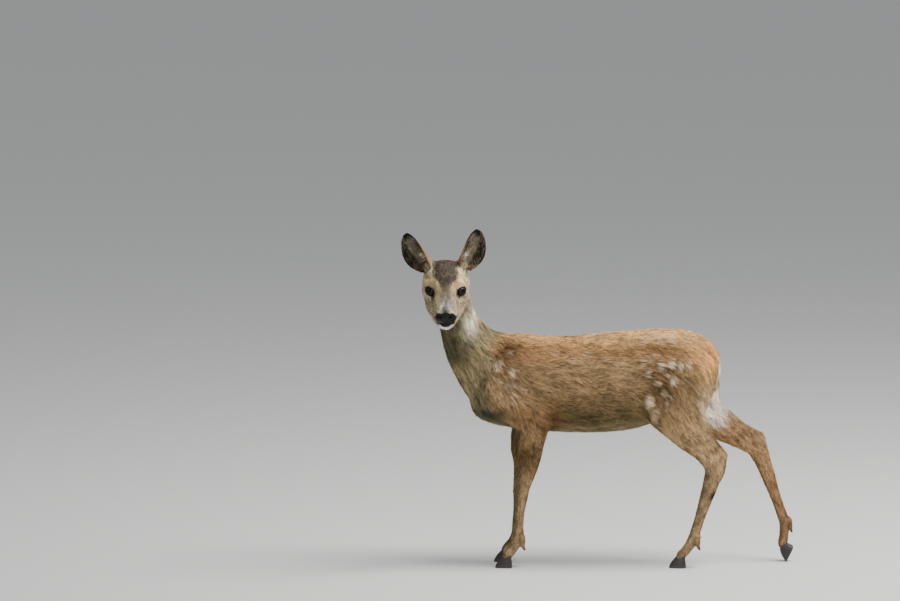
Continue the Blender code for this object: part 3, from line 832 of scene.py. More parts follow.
def coat_colour(places):
    """The colour of skin and hair at every point, as linear red, green and blue."""
    x, y, z = places.body.T
    nx, ny, nz = places.normals.T
    colour = np.tile(FLANK, (len(x), 1))

    def lay(share, over):
        nonlocal colour
        colour = colour + np.asarray(share)[:, None] * (over - colour)

    lumps = soft_noise(places.body, 26, 1.7) - 0.5
    height = z + 24 * lumps
    side_view = places.body[:, [0, 2]]
    lay(step(405, 450, height), SADDLE)
    lay(step(440, 466, height), BACK)
    # The low flank between the legs and the belly are darker, partly their own hair and partly painted
    # shade.
    between_legs = step(-128, -100, x) * step(112, 86, x)
    lay(between_legs * (1 - step(300, 394, height)), LOW_FLANK_AND_SHADE)
    lay(step(0.45, 0.9, -nz) * step(-235, -180, x), BELLY_AND_SHADE)
    # The shoulder, the haunch with its darker patch between the spots, and painted shade in the crease above
    # the flank.
    lay(0.9 * blob(side_view, (-194, 440), (34, 30)) * step(6, 26, np.abs(y)), DARK_BROWN)
    lay(0.45 * blob(side_view, (-176, 388), (28, 36)), DARK_BROWN)
    lay(0.7 * blob(side_view, (118, 380), (46, 52)) * step(15, 35, np.abs(y)), DARK_BROWN)
    # The darker low-flank colour, partly painted shade, in front of the haunch.
    lay(0.5 * blob(side_view, (178, 376), (18, 26)), LOW_FLANK_AND_SHADE)
    lay(0.9 * blob(side_view, (206, 335), (15, 28)) * (np.abs(y) > 20), THIGH_PALE)
    lay(0.8 * blob(side_view, (214, 430), (32, 34)), RUMP_TAN)
    lay(0.75 * blob(side_view, (100, 447), (44, 11)), DARK_BROWN)
    # Painted shade: a dark line along the crease above the flank.
    crease = np.exp(-(((z - 428 - 4 * np.sin(x / 17)) / 2.6) ** 2)) * step(-10, 10, x) * step(110, 70, x)
    lay(0.55 * crease * (np.abs(y) > 20), DARK_BROWN)
    lay(0.6 * blob(side_view, (-96, 322), (9, 30)) * step(25, 40, np.abs(y)), DARK_BROWN)
    # Throat, neck and breast, with painted shade on their front and a painted rim light on the neck behind
    # the face.
    twist = np.radians(np.interp(z, [440, 486, 532, 571], [0, 20, 58, 92]))
    dorsal = nx * np.cos(twist) + ny * np.sin(twist)
    on_neck = step(430, 470, z - 0.6 * (x + 240)) * (x < -170)
    buff = on_neck * (1 - step(0.5, 0.9, dorsal + 0.3 * lumps))
    lay(buff, NECK_BUFF)
    lay((1 - on_neck) * (1 - step(-236, -212, x + 14 * lumps)) * step(285, 320, z), NECK_BUFF)
    # The front of the neck and of the breast are darker: partly darker hair, partly painted shade.
    lay(0.8 * buff * step(0.35, -0.5, dorsal) * step(560, 500, z), NECK_DARK_AND_SHADE)
    lay(0.7 * (1 - step(-246, -226, x)) * step(285, 320, z) * step(400, 340, z), NECK_DARK_AND_SHADE)
    # Painted shade low on the front of the neck.
    lay(0.45 * buff * step(-255, -292, x) * step(530, 430, z), PAINTED_BREAST_SHADE)
    # Painted rim light: a pale strip down the neck behind the face.
    lay(np.clip(1.5 * blob(side_view, (-266, 536), (13, 50)), 0, 1) * buff, PAINTED_NECK_RIM_LIGHT)
    # Painted shade under the breast.
    lay(0.95 * blob(side_view, (-222, 316), (34, 19)), PAINTED_BREAST_SHADE)
    # Legs.
    lay(places.is_leg, THIGH)
    lay(places.is_leg * places.is_shank, SHANK)
    front = step(0.15, 0.7, -nx) * step(340, 300, z)
    lay(0.75 * places.is_leg * front, LEG_GREY)
    # The upper forelegs take the darker low-flank colour, partly painted shade.
    lay(0.95 * places.is_leg * (x < 0) * step(165, 225, z), LOW_FLANK_AND_SHADE)
    lay(0.5 * blob(side_view, (-148, 240), (28, 34)) * places.is_leg, DARK_RUST)
    lay(0.5 * places.is_leg * step(0.3, 0.8, nx) * (1 - places.is_foot), RUST)
    lay(0.9 * blob(side_view, (-114, 300), (22, 28)) * step(25, 40, np.abs(y)), DARK_RUST)
    lay(0.75 * blob(side_view, (-150, 322), (32, 28)) * step(15, 30, np.abs(y)), DARK_RUST)
    lay(0.5 * blob(side_view, (222, 202), (16, 16)), LEG_GREY)
    lay(0.35 * places.is_leg * step(0, 12, y) * (x > 0), RUST)
    # The rump's pale mirror, and the white inside of the thighs.
    behind = step(0.9, 0.99, nx) * (1 - step(14, 26, np.abs(y))) * step(226, 238, x) * step(325, 350, z)
    behind *= 1 - step(420, 440, z)
    lay(behind, RUMP_WHITE)
    inner = step(0.15, 0.6, -ny * np.sign(y)) * (np.abs(y) > 8) * step(262, 310, z) * (1 - step(352, 380, z))
    lay(inner * step(90, 140, x) * (1 - step(232, 262, x)), RUMP_WHITE)
    # The dark tuft on the outside of each hind foot's long bone.
    for side, at_x, at_z in ((LEFT, 229, 150), (RIGHT, 350, 172)):
        tuft = blob(places.body, (at_x, 46 * side, at_z), (9, 14, 9))
        lay(np.clip(1.6 * tuft, 0, 1) * step(0.1, 0.5, ny * side), DARK_BROWN * 0.35)
    lay(0.7 * spots_of(places, 1.3, 2.6) * step(432, 412, z), DARK_BROWN)
    lay(spots_of(places, 0.35, 1.55), SPOT_WHITE)

    # The head.
    hx, aside, hz = places.half_head.T
    seen = places.seen_height
    across_up = np.stack([aside, seen], 1)
    head = places.is_head

    def lay_on_head(share, over):
        lay(head * np.clip(share, 0, 1), over)

    lay_on_head(np.ones_like(hx), FACE)
    lay_on_head(1 - step(-82, -50, hx), SADDLE)
    lay_on_head(0.85 * step(34, 42, aside) * (1 - step(-16, 8, hx)) * step(26, 8, hz), CREAM)
    lay_on_head(0.8 * step(24, 42, -hz) * (1 - step(30, 56, hx)), NECK_BUFF)
    lay_on_head(0.2 * blob(across_up, (29, -28), (8, 10)) * (hx > -20), FACE_DARK)
    freckles = step(0.5, 0.72, soft_noise(places.head, 2.4, 6.1)) * step(14, 0, seen) * (hx > -30)
    lay_on_head((0.4 + 0.25 * blob(across_up, (26, -28), (10, 10))) * freckles, FACE_DARK)
    lay_on_head(0.5 * blob(across_up, (20, 1), (4, 9)) * step(-30, -5, hx), FACE_DARK)
    half_v = np.interp(seen, [-2, 7, 17, 28, 40, 52, 64], [2, 9, 17, 23, 25, 27, 27])
    fuzz = 11 * (soft_noise(places.head, 4, 0.4) - 0.5)
    hair_by_hair = 12 * (soft_noise(places.head, 0.9, 2.9) - 0.5)
    crown = step(-5, 5, half_v - aside + 0.6 * fuzz + hair_by_hair) * step(-9, 9, seen + 0.6 * hair_by_hair)
    crown *= step(-68, -52, hx) * step(-10, 10, hz)
    lay_on_head(1.25 * blob(across_up, (27, 15), (10, 10)) * step(-30, -5, hx), BROW_TAN)
    lay_on_head(0.75 * blob(across_up, (17, 4), (4, 9)) * step(-30, -5, hx), BROW_TAN)
    lay_on_head(1.1 * blob(across_up, (27, 38), (3.5, 6)) * step(-60, -30, hx), CREAM)
    ear_foot = blob(places.half_head, (-40, 44, 20), (12, 10, 10))
    lay_on_head(1.3 * ear_foot, EAR_ROOT)
    lay_on_head(0.8 * blob(places.half_head, (-46, 24, 42), (16, 8, 10)), EAR_BACK)
    speckle = step(0.62, 0.78, soft_noise(places.head, 2.2, 4.4)) * step(-4, 6, 34 - seen)
    lay_on_head(0.95 * crown * (1 - 0.3 * speckle), CROWN_DARK)
    bridge = (1 - step(6, 13, aside + 0.4 * fuzz)) * (hz > -12) * (1 - step(0, 12, seen))
    lay_on_head(0.65 * bridge, BRIDGE_BROWN)
    between_brows = (1 - step(5, 12, aside + hair_by_hair)) * step(-22, -8, seen) * (1 - step(0, 14, seen))
    lay_on_head(0.45 * between_brows, FACE_DARK)
    # The lower bridge: grey hair with a painted bluish sky sheen.
    lay_on_head(0.9 * blob(across_up, (0, -29), (7, 15)) * (hx > 10), BRIDGE_GREY_AND_SHEEN)
    white_way = np.interp(seen, [-44, -25], [12.5, 4.5])
    white = np.exp(-(((aside - white_way) / 3.6) ** 2)) * step(-18, -34, seen) * (hx > 25)
    lay_on_head((0.1 + 0.6 * step(0.3, 0.7, soft_noise(places.head, 2.2, 8.8))) * white, CHIN_WHITE)
    lay_on_head(0.8 * blob(across_up, (0, -43), (2.2, 4)) * (hx > 50), LIP_BLACK)
    lay_on_head(0.75 * under_eyes(places), CREAM)
    lay_on_head(0.35 * step(30, 44, hx) * step(-28, -33, hz), CREAM)
    lay_on_head(0.95 * step(52, 62, hx) * step(-29, -33, hz) * step(15, 10, aside), CHIN_WHITE)
    lay_on_head(0.25 * blob(places.head, (57, 0, -23), (6, 60, 4)) * (aside > 14), CREAM)
    lay_on_head(lid_rims(places), LID_BLACK)
    lay_on_head(bare_nose(places), LIP_BLACK)
    lay_on_head(nostrils(places.half_head) * bare_nose(places), NOSTRIL_BLACK)
    lay_on_head(dark_lips(places), LIP_BLACK)

    # The ears.
    ear, share, cup = places.is_ear, places.ear_share, places.in_ear
    reach = np.interp(share, [0.1, 0.34, 0.54, 0.76, 0.92, 1.0], [14, 21, 24, 19, 10, 3])
    out = places.ear_out / reach
    lay(ear, EAR_BACK)
    lay(ear * (1 - cup) * step(0.5, 0.9, share), EAR_RIM)
    lay(ear * cup, EAR_INNER)
    lay(0.4 * ear * cup * step(0.45, 0.75, soft_noise(places.head, 5, 3.1)), EAR_PALE * 0.5)
    lay(ear * step(0.2, -0.1, share - 0.12 * out), EAR_ROOT)
    lay(0.8 * ear * step(-0.35, -0.8, out) * step(0.62, 0.4, share), EAR_BACK)
    outer_rim = step(0.45, 0.74, out) * step(0.08, 0.25, share)
    both_rims = step(0.68, 0.92, np.abs(out)) * step(0.38, 0.58, share)
    rim = np.maximum(outer_rim, both_rims)
    lay(ear * cup * np.maximum(rim, step(0.74, 0.9, share)), EAR_RIM)
    pale = blob(np.stack([out, share], 1), (-0.3, 0.29), (0.3, 0.06))
    lay(ear * cup * 0.8 * pale, EAR_PALE)
    shadow = blob(np.stack([out, share], 1), (0.1, 0.26), (0.5, 0.16))
    lay(ear * cup * 0.4 * shadow * (1 - pale), EAR_ROOT)
    return np.clip(colour, 0, 1)


def bare_nose(places):
    """The black, hairless pad of the nose, with the lobes of the upper lip on both sides of it."""
    hx, aside, hz = places.half_head.T
    top = -43.5 - 2.5 * step(3, 9, aside) + 1.5 * step(8, 12, aside) - 7 * step(15, 23, aside)
    bottom = -67 + 9 * step(15, 23, aside)
    edge = np.minimum.reduce([top - places.seen_height, places.seen_height - bottom, hx - 59])
    lip = np.minimum.reduce([mouth_height(hx) + 9 - hz, hz - mouth_height(hx) + 1, 13 - aside, hx - 60])
    return places.is_head * step(-0.7, 0.7, np.maximum(edge, lip))


def dark_lips(places):
    """The black lower lip and the short black line along the mouth."""
    hx, aside, hz = places.half_head.T
    front = step(1.12, 0.9, np.hypot(aside / 12.5, (hz + 29) / 5.6)) * (hx > 60)
    side_view = np.stack([hx, hz], 1)
    corner = blob(side_view, (60, -29), (11, 1.6)) * (aside > 8)
    return places.is_head * np.maximum(front, np.clip(1.4 * corner, 0, 1))


def under_eyes(places):
    """The pale crescent of hair below each eye."""
    share = np.zeros(len(places.head))
    for side in EYE_CENTRES:
        outside, turn = from_lid_edge(places.head, side)
        crescent = np.exp(-(((outside - 3.8) / 1.4) ** 2)) * np.exp(-(((turn + 85) / 36) ** 2))
        share = np.maximum(share, crescent * (places.from_eye < EYE_RADIUS + 9))
    return share


def lid_rims(places):
    """The bare black rims of the lids and the tear pit at the inner corner of each eye."""
    share = np.zeros(len(places.head))
    for side in EYE_CENTRES:
        outside, turn = from_lid_edge(places.head, side)
        near = step(EYE_RADIUS + 8, EYE_RADIUS + 3, places.from_eye)
        width = 0.9 + 1.3 * np.exp(-(((turn + 38) / 15) ** 2)) + 1.2 * np.exp(-(((turn - 165) / 12) ** 2))
        share = np.maximum(share, (1 - step(width, width + 1, outside)) * near)
    return share * places.is_head


# %% [markdown]
# ## Finishes
# Skin and coat share one effect: a hair is darker at its root, lighter towards its tip, and no two
# locks have quite the same colour. It is a node group, built once, with the markings as its input. The
# markings come from an attribute of the mesh, which the functions above fill. The darker roots are
# partly the hair's own darker base and partly painted shade between the tufts.

# %% Node helpers


def fill(tree, node, inputs):
    """Sets a node's inputs. An output of another node is linked, and anything else is a value."""
    for name, value in inputs.items():
        if isinstance(value, bpy.types.NodeSocket):
            tree.links.new(value, node.inputs[name])
        else:
            node.inputs[name].default_value = value


def add_node(tree, kind, inputs=None, **settings):
    node = tree.nodes.new(kind)
    for name, value in settings.items():
        setattr(node, name, value)
    fill(tree, node, inputs or {})
    return node


def maths(tree, operation, first, second):
    return add_node(tree, "ShaderNodeMath", {0: first, 1: second}, operation=operation).outputs[0]


def object_place(tree):
    return add_node(tree, "ShaderNodeTexCoord").outputs["Object"]


def attribute(tree, name, output):
    return add_node(tree, "ShaderNodeAttribute", attribute_name=name).outputs[output]


def new_finish(name, roughness):
    finish = bpy.data.materials.new(name)
    finish.use_nodes = True
    shader = finish.node_tree.nodes["Principled BSDF"]
    shader.inputs["Roughness"].default_value = roughness
    return finish, finish.node_tree, shader


# %% The group for the colour of hair
hair_colour = bpy.data.node_groups.new("Hair colour", "ShaderNodeTree")
for label, kind, start in (
    ("Markings", "NodeSocketColor", None),
    ("Along", "NodeSocketFloat", 0.5),
    ("Lock", "NodeSocketFloat", 0.5),
    ("Root Shade", "NodeSocketFloat", 0.6),
    ("Tip Light", "NodeSocketFloat", 1.15),
    ("Variation", "NodeSocketFloat", 0.3),
    ("Patches", "NodeSocketFloat", 0.2),
):
    socket = hair_colour.interface.new_socket(name=label, in_out="INPUT", socket_type=kind)
    if start is not None:
        socket.default_value = start
hair_colour.interface.new_socket(name="Color", in_out="OUTPUT", socket_type="NodeSocketColor")
group_in = hair_colour.nodes.new("NodeGroupInput").outputs
group_out = hair_colour.nodes.new("NodeGroupOutput").inputs
ramp_inputs = {"Value": group_in["Along"], "To Min": group_in["Root Shade"], "To Max": group_in["Tip Light"]}
along_ramp = add_node(hair_colour, "ShaderNodeMapRange", ramp_inputs, interpolation_type="SMOOTHSTEP")
lock_off = maths(hair_colour, "SUBTRACT", group_in["Lock"], 0.5)
lock_shade = maths(hair_colour, "MULTIPLY", lock_off, group_in["Variation"])
patch_inputs = {"Scale": 60, "Detail": 2, "Vector": object_place(hair_colour)}
patch_noise = add_node(hair_colour, "ShaderNodeTexNoise", patch_inputs)
patch_off = maths(hair_colour, "SUBTRACT", patch_noise.outputs["Fac"], 0.5)
patch_shade = maths(hair_colour, "MULTIPLY", patch_off, group_in["Patches"])
shade = maths(hair_colour, "ADD", maths(hair_colour, "ADD", lock_shade, patch_shade), 1.0)
shade = maths(hair_colour, "MULTIPLY", shade, along_ramp.outputs["Result"])
tint = add_node(hair_colour, "ShaderNodeHueSaturation", {"Color": group_in["Markings"], "Value": shade})
hair_colour.links.new(tint.outputs["Color"], group_out["Color"])

# %% [markdown]
# The coat's own material is the group and little else: rough, nearly matt hair. The skin adds a bump of
# fine short hair, and pebbled, wet leather where it is bare: on the nose, the lips and the rims of the
# lids.

# %% Coat and skin


def add_hair_colour(tree, values):
    node = add_node(tree, "ShaderNodeGroup", node_tree=hair_colour)
    fill(tree, node, {"Markings": attribute(tree, "markings", "Color"), **values})
    return node


coat_finish, tree, shader = new_finish("summer coat", 0.62)
# The deep Root Shade is partly painted shade between the tufts.
node = add_hair_colour(tree, {"Root Shade": 0.34, "Tip Light": 1.28, "Variation": 1.5, "Patches": 0.45})
fill(tree, node, {"Along": attribute(tree, "along", "Fac"), "Lock": attribute(tree, "lock", "Fac")})
fill(tree, shader, {"Specular IOR Level": 0.15, "Base Color": node.outputs["Color"]})

skin_finish, tree, shader = new_finish("skin under the coat", 0.7)
node = add_hair_colour(tree, {"Root Shade": 0.62, "Tip Light": 1.05, "Variation": 0.5, "Patches": 0.3})
turned = {"Rotation": (0, 0, math.radians(90)), "Scale": (1, 0.22, 0.7), "Vector": object_place(tree)}
flow = add_node(tree, "ShaderNodeMapping", turned)
grain_inputs = {"Scale": 520, "Detail": 3, "Vector": flow.outputs["Vector"]}
grain = add_node(tree, "ShaderNodeTexNoise", grain_inputs)
fill(tree, node, {"Lock": attribute(tree, "lock", "Fac"), "Along": grain.outputs["Fac"]})
pebbles = add_node(tree, "ShaderNodeTexVoronoi", {"Scale": 620}, feature="SMOOTH_F1")
bare = attribute(tree, "bare", "Fac")
roughness = maths(tree, "ADD", maths(tree, "MULTIPLY", bare, -0.4), 0.7)
hair_height = maths(tree, "MULTIPLY", grain.outputs["Fac"], maths(tree, "SUBTRACT", 1.0, bare))
pebble_height = maths(tree, "MULTIPLY", pebbles.outputs["Distance"], maths(tree, "MULTIPLY", bare, -0.7))
height = maths(tree, "ADD", hair_height, pebble_height)
bump = add_node(tree, "ShaderNodeBump", {"Strength": 0.75, "Distance": 0.8 * MM, "Height": height})
fill(tree, shader, {"Specular IOR Level": 0.22, "Base Color": node.outputs["Color"]})
fill(tree, shader, {"Roughness": roughness, "Normal": bump.outputs["Normal"]})

# %% Write the markings on the skin


def write_attribute(mesh, name, values):
    """Stores one number, or one colour, for each point."""
    values = np.asarray(values, np.float32)
    if values.ndim == 2:
        layer = mesh.attributes.new(name, "FLOAT_COLOR", "POINT")
        layer.data.foreach_set("color", np.column_stack([values, np.ones(len(values), np.float32)]).ravel())
    else:
        layer = mesh.attributes.new(name, "FLOAT", "POINT")
        layer.data.foreach_set("value", values)


skin_points, skin_normals = corners_of(skin.data)
skin_places = Places(skin_points, skin_normals)
bareness = np.maximum(bare_nose(skin_places), dark_lips(skin_places))
bareness = np.maximum(bareness, lid_rims(skin_places))
write_attribute(skin.data, "markings", coat_colour(skin_places))
write_attribute(skin.data, "bare", bareness)
write_attribute(skin.data, "lock", streaks(skin_places, lie_of(skin_places)))
skin.data.materials.append(skin_finish)
skin.data.shade_smooth()
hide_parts(*FLESH, *EARS)
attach(skin, "root")
print("skin is coloured;", int((bareness > 0.5).sum()), "of its points are bare")

# %% [markdown]
# ## Hooves and dewclaws
# Horn grows down from the coronet in fine rings, is nearly black and dully glossed, and is a little
# worn and dusty at the sole. The solids already have the shape, so each is copied, welded and rounded
# with a Subdivision Surface modifier. The hoof's upper edge is then drawn in to the skin, as the
# coronet is on a living foot.

# %% The skin as a surface


def read_triangles(mesh, what):
    values = np.empty(len(mesh.loop_triangles) * 3, np.int32)
    mesh.loop_triangles.foreach_get(what, values)
    return values.reshape(-1, 3)


skin.data.calc_loop_triangles()
skin_corners = read_triangles(skin.data, "vertices")
skin_loops = read_triangles(skin.data, "loops")
surface = BVHTree.FromPolygons(skin_points.tolist(), skin_corners.tolist())

# %% Horn
HORN_BLACK = (0.014, 0.012, 0.011, 1)
HORN_DUST = (0.10, 0.08, 0.065, 1)
DUSTY_UP_TO = 9


def horn_finish():
    finish, tree, shader = new_finish("hoof horn", 0.5)
    place = object_place(tree)
    squash = add_node(tree, "ShaderNodeMapping", {"Scale": (0.06, 0.06, 1), "Vector": place})
    rings = add_node(tree, "ShaderNodeTexNoise", {"Scale": 900, "Vector": squash.outputs["Vector"]})
    height = add_node(tree, "ShaderNodeSeparateXYZ", {"Vector": place})
    low = {"From Min": DUSTY_UP_TO * MM, "From Max": 0, "To Max": 0.55, "Value": height.outputs["Z"]}
    dust = add_node(tree, "ShaderNodeMapRange", low, interpolation_type="SMOOTHSTEP")
    amount = maths(tree, "MULTIPLY", rings.outputs["Fac"], maths(tree, "ADD", dust.outputs["Result"], 0.25))
    mix = add_node(tree, "ShaderNodeMix", {0: amount, 6: HORN_BLACK, 7: HORN_DUST}, data_type="RGBA")
    ridges = {"Strength": 0.5, "Distance": 0.4 * MM, "Height": rings.outputs["Fac"]}
    bump = add_node(tree, "ShaderNodeBump", ridges)
    fill(tree, shader, {"Specular IOR Level": 0.45, "Base Color": mix.outputs[2]})
    fill(tree, shader, {"Normal": bump.outputs["Normal"]})
    return finish


CORONET = 22  # the upper edge is drawn in from this far off the skin
PASTERN_REACH = 28  # skin this near to a hoof's middle shows which of its ends meets the leg
DRAWN = 0.85
CREASE_FROM, CREASE = 1.0, 0.6  # edges sharper than this many radians stay partly sharp


def drawn_in(mesh):
    """Draws the end of a hoof that meets the pastern in to the skin."""
    points, _ = corners_of(mesh)
    pastern = skin_points[np.linalg.norm(skin_points - points.mean(0), axis=1) < PASTERN_REACH * MM]
    along = points @ unit((pastern.mean(0) - points.mean(0))[None])[0]
    uppers = step(0.35, 0.85, (along - along.min()) / np.ptp(along))
    for point, upper in zip(points, uppers):
        found, _, _, distance = surface.find_nearest(point.tolist())
        point += (np.array(found) - point) * DRAWN * upper * max(0, 1 - distance / (CORONET * MM))
    mesh.vertices.foreach_set("co", points.astype(np.float32).ravel())
    mesh.update()


horn = horn_finish()
HORNS = [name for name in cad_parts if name.startswith(("hoof", "dewclaw"))]
cover_points = skin_points.tolist()
cover_faces = skin_corners.tolist()
for name in HORNS:
    form = bmesh.new()
    form.from_mesh(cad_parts[name].data)
    bmesh.ops.remove_doubles(form, verts=form.verts[:], dist=1e-6)
    bmesh.ops.dissolve_limit(form, angle_limit=0.02, verts=form.verts[:], edges=form.edges[:])
    crease = form.edges.layers.float.new("crease_edge")
    for edge in form.edges:
        if not edge.is_boundary and edge.calc_face_angle(0) > CREASE_FROM:
            edge[crease] = CREASE
    made = object_from(name + "_horn", form)
    rounded = made.modifiers.new("Rounded", "SUBSURF")
    rounded.levels = 3
    rounded.render_levels = 3
    applied(made)
    if name.startswith("hoof"):
        drawn_in(made.data)
    made.data.shade_smooth()
    made.data.materials.append(horn)
    first = len(cover_points)
    cover_points += corners_of(made.data)[0].tolist()
    cover_faces += [[first + corner for corner in face.vertices] for face in made.data.polygons]
    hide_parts(name)
    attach(made, "root")
print("horns:", len(HORNS))
cover = BVHTree.FromPolygons(cover_points, cover_faces)
horn_only = BVHTree.FromPolygons(cover_points, cover_faces[len(skin_corners):])

# %% [markdown]
# ## The coat
# Hair could be curves or particles, but then it would be lost to anyone who takes the model elsewhere.
# So each tuft is a thin blade of mesh: two corners at its root, two half way and one at its tip. Its
# root is drawn at random on the skin, it runs along the lie of the coat, and its middle and tip are set
# back on the skin and lifted a little, so that it follows the body's roundness. Neighbouring tips lean
# together into locks.

# %% Where hair can grow
spans = skin_points[skin_corners[:, 1:]] - skin_points[skin_corners[:, :1]]
areas = np.linalg.norm(np.cross(spans[:, 0], spans[:, 1]), axis=1) / 2 / MM**2
ground = Places(skin_points[skin_corners].mean(1), unit(skin_normals[skin_corners].sum(1)))
print("skin:", int(areas.sum()), "square millimetres")

# %% [markdown]
# Each coat piece needs a UV map in which a tuft is a small patch at its root's place on an unwrapped
# skin. We unwrap the skin once, with Smart UV Project, which cuts by the skin's own shape.

# %% Unwrap the skin
bpy.context.view_layer.objects.active = skin
skin.select_set(True)
bpy.ops.object.mode_set(mode="EDIT")
bpy.ops.mesh.select_all(action="SELECT")
bpy.ops.uv.smart_project(angle_limit=math.radians(66), island_margin=0.001)
bpy.ops.object.mode_set(mode="OBJECT")
skin.select_set(False)
skin.data.uv_layers.active.name = "OFBake"
skin_uv = np.empty(len(skin.data.loops) * 2, np.float32)
skin.data.uv_layers["OFBake"].data.foreach_get("uv", skin_uv)
skin_uv = skin_uv.reshape(-1, 2)
print("unwrapped skin spans", skin_uv.min(0), skin_uv.max(0))

# %% Length, number and width of the tufts


dewclaws = [middle_of(name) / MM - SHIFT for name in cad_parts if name.startswith("dewclaw")]


def round_dewclaws(places):
    return np.max([blob(places.body, claw, (12, 12, 14)) for claw in dewclaws], axis=0)


def tuft_length(places):
    """In millimetres."""
    length = places.mixed(
        trunk=18, neck=19, leg=12, shank=8, foot=8, head=8.0, face=5.0, muzzle=3.0, ear=6.5
    )
    nx, _, nz = places.normals.T
    x, _, z = places.body.T
    length += 5 * step(0.4, 0.9, -nz) * (1 - places.is_leg) * (x > -240)
    length += 5 * step(0.3, 0.8, nx) * step(215, 240, x) * step(300, 340, z)
    return length + 2 * round_dewclaws(places)


def inside_horn(places):
    """True where the skin runs on into a hoof or a dewclaw."""
    inside = np.zeros(len(places.body), bool)
    for i in np.flatnonzero(places.is_foot > 0.05):
        point = Vector((places.body[i] + np.array(SHIFT)) * MM)
        found, normal, _, _ = horn_only.find_nearest(point)
        inside[i] = (point - found).dot(normal) < 0.2 * MM
    return inside


def tuft_density(places):
    """Tufts on a square millimetre."""
    density = places.mixed(
        trunk=0.62, neck=0.78, leg=0.85, shank=1.0, foot=1.15, head=1.15, face=1.6, muzzle=2.2, ear=1.5
    )
    density *= 1 - 0.5 * places.in_ear * places.is_ear
    bald = np.maximum.reduce([bare_nose(places) - 0.4, dark_lips(places) - 0.4, lid_rims(places)])
    return np.where((bald > 0.35) | inside_horn(places), 0, density)


def tuft_width(places):
    """In millimetres."""
    return places.mixed(
        trunk=1.2, neck=1.1, leg=1.0, shank=0.85, foot=0.7, head=0.75, face=0.6, muzzle=0.42, ear=0.6
    )


density = tuft_density(ground)
print("tufts in all:", int((areas * density).sum()))

# %% [markdown]
# A helper makes one mesh of many blades, with the attributes that the coat's material reads and the map
# that each coat piece needs.

# %% Blades
PATCH = 0.003  # size of a tuft in the UV map


def blades(name, roots, middles, tips, side, colour, lock, root_uv):
    """One object of many blades. side reaches from each blade's middle line to its edge."""
    count = len(roots)
    points = np.stack([roots - side, roots + side, middles - side * 0.85, middles + side * 0.85, tips], 1)
    first = np.arange(count)[:, None] * 5
    triangles = (first + np.array([0, 1, 3, 0, 3, 2, 2, 3, 4])).reshape(-1, 3)
    mesh = bpy.data.meshes.new(name)
    mesh.vertices.add(count * 5)
    mesh.vertices.foreach_set("co", points.astype(np.float32).ravel())
    mesh.loops.add(triangles.size)
    mesh.loops.foreach_set("vertex_index", triangles.astype(np.int32).ravel())
    mesh.polygons.add(len(triangles))
    mesh.polygons.foreach_set("loop_start", np.arange(0, triangles.size, 3, dtype=np.int32))
    mesh.update(calc_edges=True)
    write_attribute(mesh, "markings", np.repeat(colour, 5, axis=0))
    write_attribute(mesh, "along", np.tile([0, 0, 0.5, 0.5, 1], count))
    write_attribute(mesh, "lock", np.repeat(lock, 5))
    patch = np.array([(-1, -1), (1, -1), (-0.8, 0), (0.8, 0), (0, 1)]) * PATCH / 2
    tuft_uv = (root_uv[:, None] + patch).reshape(-1, 2)[triangles.ravel()]
    mesh.uv_layers.new(name="OFBake").data.foreach_set("uv", tuft_uv.astype(np.float32).ravel())
    mesh.shade_smooth()
    mesh.materials.append(coat_finish)
    made = added(name, mesh)
    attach(made, "root")
    print(name, count, "tufts,", len(triangles), "triangles")


# %% Grow tufts on part of the skin
LOCK = 12  # tufts that lean together
LEAN_TOGETHER = 0.4
ROOT_DEPTH = 0.3
STANDING_OUT = 0.94  # above this share of the draws, a tuft stands up more
SIDES_MEET = 20  # where the coat of the side ends and that of the haunch begins


def grow(name, chosen):
    """One coat piece, with its tufts on the chosen triangles of the skin."""
    chosen = np.flatnonzero(chosen)
    some = areas[chosen] * density[chosen]
    drawn = rng.random(int(some.sum())) * some.sum()
    triangle = chosen[np.minimum(np.searchsorted(np.cumsum(some), drawn), len(chosen) - 1)]
    shares = rng.random((len(triangle), 2))
    shares = np.where(shares.sum(1, keepdims=True) > 1, 1 - shares, shares)
    shares = np.column_stack([1 - shares.sum(1), shares])[:, :, None]
    roots = (skin_points[skin_corners[triangle]] * shares).sum(1)
    normals = unit((skin_normals[skin_corners[triangle]] * shares).sum(1))
    root_uv = (skin_uv[skin_loops[triangle]] * shares).sum(1)
    places = Places(roots, normals)
    count = len(roots)

    lie = lie_of(places)
    streak = streaks(places, lie)
    sway = 1.0 * (soft_noise(places.body, 22, 5.1) - 0.5) + 0.4 * (soft_noise(places.body, 7, 9.4) - 0.5)
    sway += rng.normal(0, 0.1, count)
    lie = unit(lie + np.cross(normals, lie) * sway[:, None])
    length = tuft_length(places) * rng.uniform(0.7, 1.15, count)
    half_width = tuft_width(places) * rng.uniform(0.7, 1.2, count) / 2 * MM
    lift = coat_depth(places) * rng.uniform(0.25, 0.8, count) * (0.5 + streak)
    lift += 0.12 * length * (rng.random(count) > STANDING_OUT)

    tips = roots + (lie * length[:, None] + normals * lift[:, None]) * MM
    heart = roots[::LOCK]
    tree = KDTree(len(heart))
    for i, point in enumerate(heart):
        tree.insert(point, i)
    tree.balance()
    mate = np.array([tree.find(root)[1] for root in roots.tolist()])
    tips += LEAN_TOGETHER * (tips[::LOCK][mate] - tips)
    placed = np.stack([(roots + tips) / 2, tips], 1)
    lifted = np.stack([0.55 * lift, lift], 1) * MM
    for i, pair in enumerate(placed.tolist()):
        for j, point in enumerate(pair):
            found, normal, _, _ = cover.find_nearest(point)
            placed[i, j] = found + normal * lifted[i, j]
    tilt = rng.normal(0, 0.4, count)
    side = unit(np.cross(normals, lie) + normals * tilt[:, None]) * half_width[:, None]
    lock = 0.2 * rng.random(count) + 0.3 * rng.random(len(heart))[mate] + 0.5 * streak
    roots -= normals * ROOT_DEPTH * MM
    blades(name, roots, placed[:, 0], placed[:, 1], side, coat_colour(places), lock, root_uv)


